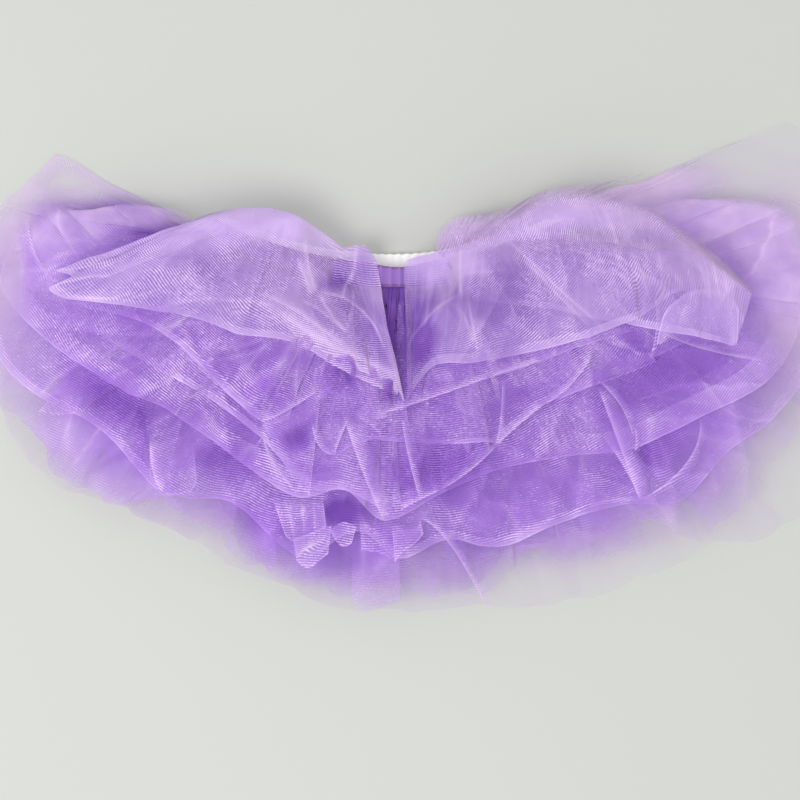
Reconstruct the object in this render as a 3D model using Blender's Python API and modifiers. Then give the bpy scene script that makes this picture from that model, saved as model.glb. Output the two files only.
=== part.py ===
"""A child's tutu of net tiers on an elastic waistband, laid flat and fanned out.

The waistband lies across the middle of the upper side. Gathered tiers of net fall
from it towards -Y and spread to both sides, the shortest on top. The lowest net lies
on the surface with a flat underside. Metres, +Z up, the origin on the surface under
the middle of the part.
"""

from collections import namedtuple
import math

import bmesh
import bpy

MM = 0.001
NAME = "tulle_skirt"

# Walls and clearances, in millimetres.
NET = 1.2
ELASTIC = 2.0
SEAM = 0.3

# The waistband's top edge is a shallow smile, and the band is one casing high.
# Only its middle is bare: both lobes of the top tier cover the rest.
WAIST_HALF = 107.0
WAIST_MIDDLE_X = -6.0
WAIST_DIP_Y = 65.0
WAIST_RISE = 27.0
CASING = 15.0
BACK_SHOWS = 5.0
BARE_HALF = 34.0
BAND_RIPPLES = 22
BAND_RIPPLE = 0.3

# The heap: how high its middle puffs up and how far the tiers stand apart.
HEAP = 17.0
HEAP_HALF_X = 272.0
HEAP_HALF_Y = 146.0
HEAP_MIDDLE_Y = -10.0
HEAP_POWER = 2.4
PUFF_REACH = 34.0
TIER_APART = 7.0
INNER_CLEAR = 2.4
GATHERS = 13
GATHER_LIFT = 2.2
HEM_LIFT = 6.5
HEM_DROOP = 2.6
HEM_WAVES = 6
HEM_DRIFT = 1.8
HEM_DRIFT_RATE = 9.0
ROLL_DROP = 0.4
ROLL_SHARE = 0.16

# Heights of the walls' middles where everything meets the waistband.
FLOOR_NET_TOP = 1.5
FLOOR_NET_RIPPLE = 0.6
FLOOR_NET_RIPPLES = 19
INNER_BOTTOM = FLOOR_NET_TOP + 2 * FLOOR_NET_RIPPLE + SEAM
BACK_BAND_Z = INNER_BOTTOM + ELASTIC / 2
INNER_TOP = INNER_BOTTOM + 1.6
FIRST_TIER_Z = INNER_TOP + 2 * SEAM + NET / 2
TIER_STEP = NET + 4 * SEAM
FRONT_BAND_Z = FIRST_TIER_Z + 3 * TIER_STEP + NET / 2 + 3 * SEAM + ELASTIC / 2
TOP_TIER_Z = FRONT_BAND_Z + 2 * BAND_RIPPLE + ELASTIC / 2 + SEAM + NET / 2

# The roll of the back tier: its height, its puffs and how far over it leans.
BACK_TIER_Z = FLOOR_NET_TOP + 2 * FLOOR_NET_RIPPLE + 2 * SEAM + NET / 2
BACK_PUFF = 15.0
BACK_PUFFS = 5
BACK_PUFF_SWELL = 0.25
BACK_ROLL_TURN = 0.8 * math.pi
BACK_ROLL_END = 0.25

# Where each piece starts, measured down from the band's top edge.
FLOOR_TIER_DROP = 9.0
FLOOR_RETURN_DROP = 4.0
TIER_DROP = CASING + 0.5
BACK_TIER_DROP = -BACK_SHOWS - 1.2

# One row for each ray of a fan: how far along the band its gathers start, from the
# left end (0) to the right end (1), and where its hem lies, in millimetres.
Ray = namedtuple("Ray", "waist hem_x hem_y")

SECOND_TIER = [
    Ray(0.00, -210, 42),
    Ray(0.07, -180, 36),
    Ray(0.14, -150, 27),
    Ray(0.21, -120, 2),
    Ray(0.28, -99, -19),
    Ray(0.35, -79, -32),
    Ray(0.42, -60, -26),
    Ray(0.48, -33, -20),
    Ray(0.54, -15, -29),
    Ray(0.60, 24, -17),
    Ray(0.67, 60, -7),
    Ray(0.76, 107, -13),
    Ray(0.84, 153, 4),
    Ray(0.92, 200, 12),
    Ray(1.00, 211, 36),
]

THIRD_TIER = [
    Ray(0.00, -226, 88),
    Ray(0.04, -240, 52),
    Ray(0.09, -212, 18),
    Ray(0.15, -168, -11),
    Ray(0.22, -142, -23),
    Ray(0.28, -121, -37),
    Ray(0.34, -93, -57),
    Ray(0.41, -62, -76),
    Ray(0.47, -33, -72),
    Ray(0.52, -9, -90),
    Ray(0.58, 25, -74),
    Ray(0.65, 58, -60),
    Ray(0.73, 98, -52),
    Ray(0.80, 139, -47),
    Ray(0.87, 181, -28),
    Ray(0.94, 222, -5),
    Ray(0.98, 240, 30),
    Ray(1.00, 228, 66),
]

FOURTH_TIER = [
    Ray(0.00, -234, 98),
    Ray(0.03, -246, 62),
    Ray(0.06, -242, 10),
    Ray(0.10, -217, -16),
    Ray(0.15, -190, -29),
    Ray(0.21, -171, -44),
    Ray(0.28, -150, -69),
    Ray(0.34, -127, -77),
    Ray(0.40, -100, -80),
    Ray(0.46, -60, -112),
    Ray(0.51, -26, -97),
    Ray(0.56, 0, -113),
    Ray(0.61, 28, -102),
    Ray(0.67, 61, -106),
    Ray(0.73, 98, -91),
    Ray(0.79, 136, -81),
    Ray(0.85, 169, -78),
    Ray(0.90, 197, -49),
    Ray(0.94, 225, -28),
    Ray(0.97, 248, 10),
    Ray(1.00, 240, 78),
]

FIFTH_TIER = [
    Ray(0.00, -192, 113),
    Ray(0.01, -206, 106),
    Ray(0.02, -238, 101),
    Ray(0.03, -257, 68),
    Ray(0.05, -258, 6),
    Ray(0.10, -234, -32),
    Ray(0.15, -213, -66),
    Ray(0.21, -179, -81),
    Ray(0.28, -145, -88),
    Ray(0.34, -116, -98),
    Ray(0.40, -95, -125),
    Ray(0.46, -63, -132),
    Ray(0.51, -30, -141),
    Ray(0.56, 4, -137),
    Ray(0.61, 48, -141),
    Ray(0.67, 84, -117),
    Ray(0.73, 120, -108),
    Ray(0.79, 150, -99),
    Ray(0.84, 182, -104),
    Ray(0.88, 210, -88),
    Ray(0.92, 236, -50),
    Ray(0.96, 257, 0),
    Ray(0.98, 260, 60),
    Ray(1.00, 232, 99),
]

# The lowest net lies on the surface all round the band: its rays go round the band's
# right end, and then start on the band's upper side and come back along it.
FLOOR_TIER = [
    Ray(0.00, -212, 131),
    Ray(0.02, -236, 108),
    Ray(0.04, -258, 81),
    Ray(0.06, -268, 42),
    Ray(0.09, -264, 0),
    Ray(0.13, -240, -36),
    Ray(0.18, -218, -66),
    Ray(0.23, -179, -85),
    Ray(0.29, -140, -98),
    Ray(0.36, -101, -123),
    Ray(0.43, -56, -141),
    Ray(0.49, -10, -149),
    Ray(0.56, 34, -149),
    Ray(0.64, 83, -144),
    Ray(0.71, 120, -141),
    Ray(0.78, 152, -127),
    Ray(0.85, 188, -110),
    Ray(0.91, 222, -105),
    Ray(0.95, 249, -82),
    Ray(0.98, 265, -42),
    Ray(1.00, 268, 12),
]
FLOOR_TIER_END = [
    Ray(1.00, 268, 66),
    Ray(1.00, 262, 114),
    Ray(1.00, 240, 150),
    Ray(1.00, 207, 140),
]
FLOOR_TIER_RETURN = [
    Ray(0.97, 176, 128),
    Ray(0.93, 150, 118),
    Ray(0.88, 123, 111),
    Ray(0.84, 104, 109),
    Ray(0.79, 89, 107),
    Ray(0.74, 67, 97),
    Ray(0.70, 52, 93),
    Ray(0.65, 34, 91),
    Ray(0.61, 26, 85),
]

# The back tier puffs up past the band's upper side, behind the right lobe.
BACK_TIER = [
    Ray(0.63, 23, 84),
    Ray(0.66, 34, 92),
    Ray(0.69, 52, 94),
    Ray(0.72, 67, 98),
    Ray(0.75, 80, 105),
    Ray(0.78, 93, 109),
    Ray(0.81, 107, 111),
    Ray(0.84, 122, 113),
    Ray(0.87, 136, 116),
    Ray(0.90, 148, 119),
]

# The inner layers end in terraces: how far out each one reaches, as a share of the
# fifth tier, and its share of the heap's height.
Terrace = namedtuple("Terrace", "reach share")

INNER_TERRACES = [
    Terrace(0.80, 0.92),
    Terrace(0.88, 0.6),
    Terrace(0.96, 0.3),
]
TERRACE_SLOPE = 0.012

# The top tier is two lobes that rise past the band and roll back over it, so each ray
# has a place of its own on the rolled edge.
Fold = namedtuple("Fold", "edge_x edge_y hem_x hem_y")

TOP_LEFT = [
    Fold(-118, 92, -206, 56),
    Fold(-110, 94, -209, 48),
    Fold(-101, 96, -187, 41),
    Fold(-90, 97, -156, 37),
    Fold(-79, 97, -120, 29),
    Fold(-69, 95, -96, 21),
    Fold(-60, 92, -71, 18),
    Fold(-51, 86, -48, 8),
    Fold(-42, 80, -27, 0),
    Fold(-33, 74, -13, -6),
    Fold(-27, 75, -6, -10),
    Fold(-20, 74, -1, -15),
    Fold(-14, 66, 3, -19),
]

TOP_RIGHT = [
    Fold(6, 67, 6, -17),
    Fold(12, 69, 15, -5),
    Fold(20, 72, 26, 3),
    Fold(29, 74, 42, 4),
    Fold(38, 75, 58, 7),
    Fold(48, 76, 84, 13),
    Fold(56, 79, 107, 20),
    Fold(65, 83, 131, 23),
    Fold(75, 89, 151, 13),
    Fold(87, 95, 165, 29),
    Fold(99, 100, 182, 44),
    Fold(111, 103, 201, 42),
    Fold(121, 104, 210, 44),
    Fold(130, 104, 212, 50),
]


def band_edge(share):
    """The band's top edge at a share of its length, in millimetres."""
    across = 2 * share - 1
    return WAIST_MIDDLE_X + WAIST_HALF * across, WAIST_DIP_Y + WAIST_RISE * across**2


def from_band(x, y, half):
    """Distance from the band's middle stretch of this half length."""
    reach = half / WAIST_HALF
    across = max(-reach, min(reach, (x - WAIST_MIDDLE_X) / WAIST_HALF))
    edge_x, edge_y = band_edge((across + 1) / 2)
    beyond = max(y - edge_y, edge_y - CASING - y, 0.0)
    return math.hypot(x - edge_x, beyond)


def spread(x, y, half):
    """0 where the gathers are held at the band, rising to 1 away from it."""
    return 1 - math.exp(-from_band(x, y, half) / PUFF_REACH)


def heap(x, y):
    """Height that the hidden layers lift the tiers by."""
    out = abs(x / HEAP_HALF_X) ** HEAP_POWER
    out += abs((y - HEAP_MIDDLE_Y) / HEAP_HALF_Y) ** HEAP_POWER
    return HEAP * max(0.0, 1 - out)


def gathers(x, y):
    """Shared wave of the gathers, which fan out from above the band."""
    turn = math.atan2(x - WAIST_MIDDLE_X, WAIST_DIP_Y + 2 * WAIST_RISE - y) / math.pi
    return GATHER_LIFT * (1 + math.sin(2 * math.pi * GATHERS * turn))


def tier_height(level, waist_z, half, rolls):
    """Height of a tier's wall, which stands clear of the one below everywhere."""

    def height(x, y, along, down):
        raised = INNER_CLEAR + heap(x, y) + level * TIER_APART + gathers(x, y)
        drift = HEM_DRIFT * math.sin(HEM_DRIFT_RATE * along + level)
        crest = 0.5 + 0.5 * math.sin(2 * math.pi * (HEM_WAVES + level) * along + drift)
        lift = down**4 * (HEM_LIFT * crest - HEM_DROOP * (1 - crest))
        if rolls and down < ROLL_SHARE:
            raised *= 1 - ROLL_DROP * (1 - down / ROLL_SHARE) ** 2
        return waist_z + spread(x, y, half) * (raised + lift)

    return height


def smooth_between(points, where):
    """Catmull-Rom curve through the points, with where from 0 to 1 along it."""
    last = len(points) - 1
    place = where * last
    i = min(int(place), last - 1)
    t = place - i
    before = points[max(i - 1, 0)]
    after = points[min(i + 2, last)]
    out = []
    for a, b, c, d in zip(before, points[i], points[i + 1], after):
        bend = (2 * a - 5 * b + 4 * c - d) * t * t + (3 * b - a - 3 * c + d) * t**3
        out.append(0.5 * (2 * b + (c - a) * t + bend))
    return out


def on_band(rays, drop):
    """The fan's rays as start and hem points, starting drop below the top edge."""
    rows = []
    for ray in rays:
        x, y = band_edge(ray.waist)
        rows.append((x, y - drop, ray.hem_x, ray.hem_y))
    return rows


def fan_points(rows, across, stations):
    """Grid of (x, y, along, down) places over a fan, one list for each ray."""
    grid = []
    for i in range(across + 1):
        along = i / across
        x0, y0, x1, y1 = smooth_between(rows, along)
        grid.append([(x0 + (x1 - x0) * v, y0 + (y1 - y0) * v, along, v) for v in stations])
    return grid


def stations(count, power):
    """Places down a ray from 0 to 1, closer together near the band as power rises."""
    return [(j / count) ** power for j in range(count + 1)]


def add_grid(bm, grid, height):
    """Vertices of a grid at their heights, in metres."""
    made = []
    for ray in grid:
        line = []
        for x, y, along, down in ray:
            line.append(bm.verts.new((x * MM, y * MM, height(x, y, along, down) * MM)))
        made.append(line)
    return made


def skin(bm, verts, flip):
    """Quads between the lines of a grid."""
    for left, right in zip(verts, verts[1:]):
        for j in range(len(left) - 1):
            corners = [left[j], left[j + 1], right[j + 1], right[j]]
            if flip:
                corners.reverse()
            bm.faces.new(corners)


def rim(verts):
    """The grid's outer vertices in order, once round."""
    low = [line[-1] for line in verts[1:-1]]
    high = [line[0] for line in verts[1:-1]]
    return verts[0] + low + verts[-1][::-1] + high[::-1]


def finish_object(name, bm, collection, colour, roughness):
    """Mesh object in its collection, with its own material."""
    mesh = bpy.data.meshes.new(name)
    bmesh.ops.recalc_face_normals(bm, faces=bm.faces)
    bm.to_mesh(mesh)
    bm.free()
    mesh.shade_smooth()
    piece = bpy.data.objects.new(name, mesh)
    collection.objects.link(piece)
    material = bpy.data.materials.new(name)
    material.use_nodes = True
    shader = material.node_tree.nodes["Principled BSDF"]
    shader.inputs["Base Color"].default_value = (*colour, 1.0)
    shader.inputs["Roughness"].default_value = roughness
    shader.inputs["Metallic"].default_value = 0.0
    mesh.materials.append(material)
    return piece


def cloth_wall(name, grid, height, thick, collection, colour):
    """A net or band: an open surface over the fan, given its wall by Solidify."""
    bm = bmesh.new()
    skin(bm, add_grid(bm, grid, height), False)
    piece = finish_object(name, bm, collection, colour, 0.85)
    wall = piece.modifiers.new("wall", "SOLIDIFY")
    wall.thickness = thick * MM
    wall.offset = 0.0
    return piece


def filled_fan(name, grid, top, bottom, collection, colour):
    """A solid between a rounded top and a flat underside."""
    bm = bmesh.new()
    upper = add_grid(bm, grid, top)
    lower = add_grid(bm, grid, bottom)
    skin(bm, upper, False)
    skin(bm, lower, True)
    over = rim(upper)
    under = rim(lower)
    for i in range(len(over)):
        j = (i + 1) % len(over)
        bm.faces.new([over[i], over[j], under[j], under[i]])
    return finish_object(name, bm, collection, colour, 0.85)


for old in list(bpy.data.objects):
    bpy.data.objects.remove(old, do_unlink=True)

parts = bpy.data.collections.new(NAME)
bpy.context.scene.collection.children.link(parts)

LILAC = (0.38, 0.21, 0.62)
PALE_LILAC = (0.62, 0.52, 0.74)
DEEP_LILAC = (0.25, 0.11, 0.48)
CREAM = (0.86, 0.83, 0.76)


# The lowest net, flat underneath, with its gathers as low ridges on top.
def floor_net_top(x, y, along, down):
    ridge = 1 + math.sin(2 * math.pi * FLOOR_NET_RIPPLES * along)
    return FLOOR_NET_TOP + FLOOR_NET_RIPPLE * ridge


def on_surface(x, y, along, down):
    return 0.0


floor_rows = on_band(FLOOR_TIER, FLOOR_TIER_DROP)
for i, ray in enumerate(FLOOR_TIER_END):
    share = (i + 1) / (len(FLOOR_TIER_END) + 1)
    floor_rows += on_band([ray], FLOOR_TIER_DROP + (FLOOR_RETURN_DROP - FLOOR_TIER_DROP) * share)
floor_rows += on_band(FLOOR_TIER_RETURN, FLOOR_RETURN_DROP)
floor_grid = fan_points(floor_rows, 72, stations(3, 1.0))
filled_fan("floor_tier", floor_grid, floor_net_top, on_surface, parts, PALE_LILAC)


# The hidden inner layers share one rounded solid with terraced edges.
def inner_stations():
    places = [0.0, 0.08, 0.2, 0.36, 0.54, 0.7]
    for terrace in INNER_TERRACES:
        places += [terrace.reach - TERRACE_SLOPE, terrace.reach]
    return places[:-1]


def inner_top(x, y, along, down):
    share = next(step.share for step in INNER_TERRACES if down < step.reach)
    return INNER_TOP + share * spread(x, y, WAIST_HALF) * (heap(x, y) + gathers(x, y))


def inner_bottom(x, y, along, down):
    return INNER_BOTTOM


inner_grid = fan_points(on_band(FIFTH_TIER, TIER_DROP), 42, inner_stations())
filled_fan("inner_layers", inner_grid, inner_top, inner_bottom, parts, DEEP_LILAC)


# The waistband's back lies under its front and shows a cream inner face above it.
def band_grid(rise, drop, across):
    rows = []
    for i in range(13):
        x, y = band_edge(i / 12)
        rows.append((x, y + rise, x, y - drop))
    return fan_points(rows, across, [0.0, 1.0])


def flat_band(x, y, along, down):
    return BACK_BAND_Z


def rippled_band(x, y, along, down):
    return FRONT_BAND_Z + BAND_RIPPLE * (1 + math.sin(2 * math.pi * BAND_RIPPLES * along))


back_grid = band_grid(BACK_SHOWS, CASING - BACK_SHOWS, 24)
cloth_wall("waistband_back", back_grid, flat_band, ELASTIC, parts, CREAM)
cloth_wall("waistband_front", band_grid(0.0, CASING, 110), rippled_band, ELASTIC, parts, LILAC)

# The back tier's net stands in a soft roll behind the band.
def back_roll(x, y, along, down):
    crest = 1 + BACK_PUFF_SWELL * math.sin(2 * math.pi * BACK_PUFFS * along)
    rising = min(1.0, along / BACK_ROLL_END)
    return BACK_TIER_Z + BACK_PUFF * crest * rising * math.sin(BACK_ROLL_TURN * down)


back_tier_grid = fan_points(on_band(BACK_TIER, BACK_TIER_DROP), 26, stations(4, 1.0))
cloth_wall("back_tier", back_tier_grid, back_roll, NET, parts, PALE_LILAC)

# The lower tiers start at the band's lower edge, one above the other.
LOWER_TIERS = [
    ("fifth_tier", FIFTH_TIER),
    ("fourth_tier", FOURTH_TIER),
    ("third_tier", THIRD_TIER),
    ("second_tier", SECOND_TIER),
]
for level, (name, rays) in enumerate(LOWER_TIERS):
    height = tier_height(level, FIRST_TIER_Z + level * TIER_STEP, WAIST_HALF, False)
    grid = fan_points(on_band(rays, TIER_DROP), 60, stations(6, 1.2))
    cloth_wall(name, grid, height, NET, parts, LILAC)

# The top tier's two lobes cover the band but for its bare middle.
TOP_LOBES = [("top_tier_left", TOP_LEFT, 36), ("top_tier_right", TOP_RIGHT, 42)]
for name, folds, across in TOP_LOBES:
    height = tier_height(len(LOWER_TIERS), TOP_TIER_Z, BARE_HALF, True)
    grid = fan_points(folds, across, stations(7, 1.0))
    cloth_wall(name, grid, height, NET, parts, LILAC)
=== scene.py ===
from collections import namedtuple
import math
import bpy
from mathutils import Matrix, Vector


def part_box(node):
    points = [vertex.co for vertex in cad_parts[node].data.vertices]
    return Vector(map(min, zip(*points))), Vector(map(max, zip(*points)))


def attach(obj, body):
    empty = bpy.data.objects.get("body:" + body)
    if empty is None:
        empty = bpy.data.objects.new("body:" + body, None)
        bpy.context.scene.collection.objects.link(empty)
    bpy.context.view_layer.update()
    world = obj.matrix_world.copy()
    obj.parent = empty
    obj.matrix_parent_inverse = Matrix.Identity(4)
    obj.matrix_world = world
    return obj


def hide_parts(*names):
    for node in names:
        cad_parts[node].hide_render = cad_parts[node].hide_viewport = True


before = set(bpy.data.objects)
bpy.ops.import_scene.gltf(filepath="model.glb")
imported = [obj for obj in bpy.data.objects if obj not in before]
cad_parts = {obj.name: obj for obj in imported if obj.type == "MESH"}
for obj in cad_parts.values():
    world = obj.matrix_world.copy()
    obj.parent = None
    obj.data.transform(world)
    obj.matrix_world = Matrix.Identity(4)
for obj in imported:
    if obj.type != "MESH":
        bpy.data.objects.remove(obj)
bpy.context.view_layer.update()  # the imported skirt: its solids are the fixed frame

from types import SimpleNamespace

import bpy
import numpy as np

MM = 0.001


# The waistband's back: a flat white knitted elastic, sewn into a ring that lies flat, so
# that its inner face shows as a narrow strip above the casing. Its top edge is a shallow
# smile, and its places are in millimetres like all the plan sizes here.
band_low, band_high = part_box("waistband_back")
CASING = 15.0
BACK_SHOWS = 5.0
WAIST_X = (band_low.x + band_high.x) / 2 / MM
WAIST_HALF = (band_high.x - band_low.x) / 2 / MM
WAIST_DIP = band_low.y / MM + CASING - BACK_SHOWS
WAIST_RISE = (band_high.y - band_low.y) / MM - CASING
ELASTIC_Z = (band_low.z + band_high.z) / 2 / MM
ELASTIC_THICK = 1.3
ELASTIC_PUCKERS = 46
ELASTIC_PUCKER = 0.35
ELASTIC_END = 0.12
ELASTIC_FINE = (331, 13)
ELASTIC_RIB = 0.0011
ELASTIC_WHITE = (0.97, 0.96, 0.92)
ELASTIC_PAINTED_GLOW = 0.16


def band_line(share):
    """The band's top edge at a share of its length from the left end."""
    across = 2 * share - 1
    return WAIST_X + WAIST_HALF * across, WAIST_DIP + WAIST_RISE * across**2


def cloth_piece(name, grids, **painted_values):
    """Grids of cloth, each x, y, z in millimetres and its own cut across and up, as one mesh."""
    quads = []
    start = 0
    for grid in grids:
        x = grid[0]
        number = start + np.arange(x.size).reshape(x.shape)
        corners = [number[:-1, :-1], number[:-1, 1:], number[1:, 1:], number[1:, :-1]]
        quads.append(np.stack(corners, axis=-1).reshape(-1, 4))
        start += x.size
    sides = [np.concatenate([grid[k].ravel() for grid in grids]) for k in range(5)]
    mesh = bpy.data.meshes.new(name)
    mesh.from_pydata((np.stack(sides[:3], axis=-1) * MM).tolist(), [], np.concatenate(quads).tolist())
    mesh.shade_smooth()
    cut = mesh.uv_layers.new(name="cut")
    corner_of = np.empty(len(mesh.loops), int)
    mesh.loops.foreach_get("vertex_index", corner_of)
    map_of = (np.stack(sides[3:], axis=-1) * MM)[corner_of]
    cut.data.foreach_set("uv", map_of.astype(np.float32).ravel())
    for key, values in painted_values.items():
        attribute = mesh.attributes.new(key, "FLOAT", "POINT")
        attribute.data.foreach_set("value", np.asarray(values, np.float32).ravel())
    piece = bpy.data.objects.new(name, mesh)
    bpy.context.scene.collection.objects.link(piece)
    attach(piece, "root")
    return piece


def start_material(name, roughness, sheen):
    """A new cloth material, with its node tree and its shader."""
    material = bpy.data.materials.new(name)
    material.use_nodes = True
    tree = material.node_tree
    shader = tree.nodes["Principled BSDF"]
    shader.inputs["Roughness"].default_value = roughness
    shader.inputs["Specular IOR Level"].default_value = 0.25
    shader.inputs["Sheen Weight"].default_value = sheen
    shader.inputs["Sheen Roughness"].default_value = 0.4
    return material, tree, shader


def put(tree, kind, inputs=(), **settings):
    """A node with its settings, and its inputs linked or set in order."""
    node = tree.nodes.new(kind)
    for key, value in settings.items():
        setattr(node, key, value)
    for socket, value in zip(node.inputs, inputs):
        if isinstance(value, bpy.types.NodeSocket):
            tree.links.new(value, socket)
        elif value is not None:
            socket.default_value = value
    return node


def calc(tree, operation, *values):
    """One step of arithmetic."""
    return put(tree, "ShaderNodeMath", values, operation=operation).outputs[0]


def cut_place(tree):
    """Where a point lies on the flat cut: across it and up from its hem, in metres."""
    place = put(tree, "ShaderNodeUVMap", uv_map="cut").outputs[0]
    parted = put(tree, "ShaderNodeSeparateXYZ", [place])
    return parted.outputs[0], parted.outputs[1]


def ribs(tree, place, pitch, sway=0.0):
    """Rows of stitches or meshes a pitch apart, from 0 between them to 1 on them."""
    turn = calc(tree, "MULTIPLY_ADD", place, 2 * math.pi / pitch, sway)
    return calc(tree, "MULTIPLY_ADD", calc(tree, "SINE", turn), 0.5, 0.5)


def blend_colours(tree, share, first, second):
    """A colour between two, by share."""
    mixer = put(tree, "ShaderNodeMix", data_type="RGBA", clamp_factor=True)
    for socket, value in zip((mixer.inputs[0], mixer.inputs[6], mixer.inputs[7]), (share, first, second)):
        if isinstance(value, bpy.types.NodeSocket):
            tree.links.new(value, socket)
        else:
            socket.default_value = (*value, 1.0) if hasattr(value, "__len__") else value
    return mixer.outputs[2]


def knitted_elastic():
    """White elastic, knitted in ribs both ways, with a painted glow of its own white."""
    material, tree, shader = start_material("knitted_elastic", 0.8, 0.2)
    across, up = cut_place(tree)
    knit = calc(tree, "MULTIPLY", ribs(tree, up, ELASTIC_RIB), ribs(tree, across, ELASTIC_RIB * 0.8))
    shade = tuple(0.9 * channel for channel in ELASTIC_WHITE)
    tree.links.new(blend_colours(tree, knit, shade, ELASTIC_WHITE), shader.inputs["Base Color"])
    # Painted glow: the elastic gives off a little light of its own white, which lifts it out of the skirt's
    # shade.
    shader.inputs["Emission Color"].default_value = (*ELASTIC_WHITE, 1.0)
    shader.inputs["Emission Strength"].default_value = ELASTIC_PAINTED_GLOW
    bump = put(tree, "ShaderNodeBump")
    bump.inputs["Strength"].default_value = 0.3
    bump.inputs["Distance"].default_value = 0.0003
    tree.links.new(knit, bump.inputs["Height"])
    tree.links.new(bump.outputs[0], shader.inputs["Normal"])
    return material


across = np.linspace(0, 1, ELASTIC_FINE[0])
down = np.linspace(-BACK_SHOWS, CASING - BACK_SHOWS, ELASTIC_FINE[1])
share, drop = np.meshgrid(across, down, indexing="ij")
edge_x, edge_y = band_line(share)
pucker = ELASTIC_PUCKER * np.sin(2 * np.pi * ELASTIC_PUCKERS * share + 2 * np.sin(17 * share))
ends = np.clip((1 - np.abs(2 * share - 1)) / ELASTIC_END, 0, 1)
elastic_y = edge_y - np.where(drop < 0, drop * ends, drop) + 0.6 * pucker * (drop < 0)
elastic_cut = (2 * WAIST_HALF * share, CASING - BACK_SHOWS - drop)
elastic = cloth_piece("elastic_back", [(edge_x, elastic_y, ELASTIC_Z + pucker, *elastic_cut)])
elastic.data.materials.append(knitted_elastic())
wall = elastic.modifiers.new("wall", "SOLIDIFY")
wall.thickness = ELASTIC_THICK * MM
wall.offset = 0.0
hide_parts("waistband_back")


# The casing: the front half of the waistband, a folded strip of lilac cloth over the
# elastic, 15 mm high and finely gathered. Two rows of dark thread hold it, one along
# its top edge and one where the net is sewn on.
front_low, front_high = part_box("waistband_front")
CASING_Z = (front_low.z + front_high.z) / 2 / MM
CASING_GATHERS = 41
CASING_GATHER = 0.45
CASING_ROUNDING = 0.7
CASING_WALL = 1.0
CASING_FINE = (621, 16)
CASING_WEAVE = 0.0009
CASING_SAG = 3.0
CASING_SAG_HALF = 16.0
CASING_LILAC = (0.35, 0.19, 0.56)
# The casing's lilac in painted shade, for the hollows of its gathers.
CASING_SHADED = (0.27, 0.13, 0.46)
THREAD_DARK = (0.18, 0.08, 0.16)
THREAD_TWIST = 2500.0
STITCH_ROWS = (0.9, 13.4)
STITCHES = 78
STITCH_LONG = 2.1
STITCH_THICK = 0.32


def uneven_turn(along, count, drift):
    """Turn of a row of folds that stand at uneven spacings, in radians."""
    wander = np.sin(2 * np.pi * 2.3 * along + count) + 0.6 * np.sin(2 * np.pi * 5.1 * along + 2 * count)
    return 2 * np.pi * count * along + drift * wander


def painted(tree, name):
    """A value painted on a sheet's folds."""
    return put(tree, "ShaderNodeAttribute", attribute_name=name).outputs["Fac"]


def gathered_casing():
    """Lilac plain-woven cloth, with painted shade down in its gathers."""
    material, tree, shader = start_material("gathered_casing", 0.75, 0.35)
    across, up = cut_place(tree)
    weave = calc(tree, "MULTIPLY", ribs(tree, across, CASING_WEAVE), ribs(tree, up, CASING_WEAVE))
    light = calc(tree, "MULTIPLY_ADD", weave, 0.25, painted(tree, "pale"))
    tree.links.new(blend_colours(tree, light, CASING_SHADED, CASING_LILAC), shader.inputs["Base Color"])
    return material


def stitch_thread():
    """Dark sewing thread, with the light catching its twist."""
    material, tree, shader = start_material("stitch_thread", 0.6, 0.2)
    place = put(tree, "ShaderNodeNewGeometry").outputs["Position"]
    twist = put(tree, "ShaderNodeTexNoise", noise_dimensions="3D")
    twist.inputs["Scale"].default_value = THREAD_TWIST
    tree.links.new(place, twist.inputs["Vector"])
    light = tuple(1.6 * channel for channel in THREAD_DARK)
    tree.links.new(blend_colours(tree, twist.outputs[0], THREAD_DARK, light), shader.inputs["Base Color"])
    return material


def casing_y(share, drop):
    """The casing's places down from its top edge, which sags a little at the middle."""
    edge_x, edge_y = band_line(share)
    return edge_y - drop - CASING_SAG * np.exp(-((edge_x / CASING_SAG_HALF) ** 2)) * (1 - drop / CASING)


def casing_height(share, drop):
    """Top of the casing: fine folds, rounded over at both edges."""
    fold = np.sin(uneven_turn(share, CASING_GATHERS, 1.2))
    rounding = 1 - (2 * drop / CASING - 1) ** 8
    return CASING_Z + CASING_GATHER * fold + CASING_ROUNDING * rounding, fold


across = np.linspace(0, 1, CASING_FINE[0])
share, drop = np.meshgrid(across, np.linspace(0, CASING, CASING_FINE[1]), indexing="ij")
casing_z, casing_fold = casing_height(share, drop)
casing_grid = (band_line(share)[0], casing_y(share, drop), casing_z, 2 * WAIST_HALF * share, CASING - drop)
# Its pale values paint light on the gathers' tops and shade down between them.
casing = cloth_piece("casing_front", [casing_grid], pale=0.5 + 0.25 * casing_fold)
casing.data.materials.append(gathered_casing())
wall = casing.modifiers.new("wall", "SOLIDIFY")
wall.thickness = CASING_WALL * MM
wall.offset = -1.0
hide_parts("waistband_front")

bpy.ops.mesh.primitive_cylinder_add(vertices=8, radius=STITCH_THICK * MM, depth=STITCH_LONG * MM)
pattern = bpy.context.object
stitch_places = []
stitch_faces = []
for row in STITCH_ROWS:
    for i in range(STITCHES):
        middle = (i + 0.5) / STITCHES
        x, y = band_line(middle)[0], float(casing_y(middle, row))
        lean = math.atan2(float(casing_y(middle + 0.001, row)) - y, 0.002 * WAIST_HALF)
        z = casing_height(middle, row)[0] + STITCH_THICK / 2
        start = len(stitch_places)
        for vert in pattern.data.vertices:
            along, aside, up = vert.co.z / MM, vert.co.x / MM, vert.co.y / MM
            turned_x = along * math.cos(lean) - aside * math.sin(lean)
            turned_y = along * math.sin(lean) + aside * math.cos(lean)
            stitch_places.append(((x + turned_x) * MM, (y + turned_y) * MM, (z + up) * MM))
        stitch_faces += [[start + k for k in face.vertices] for face in pattern.data.polygons]
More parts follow.
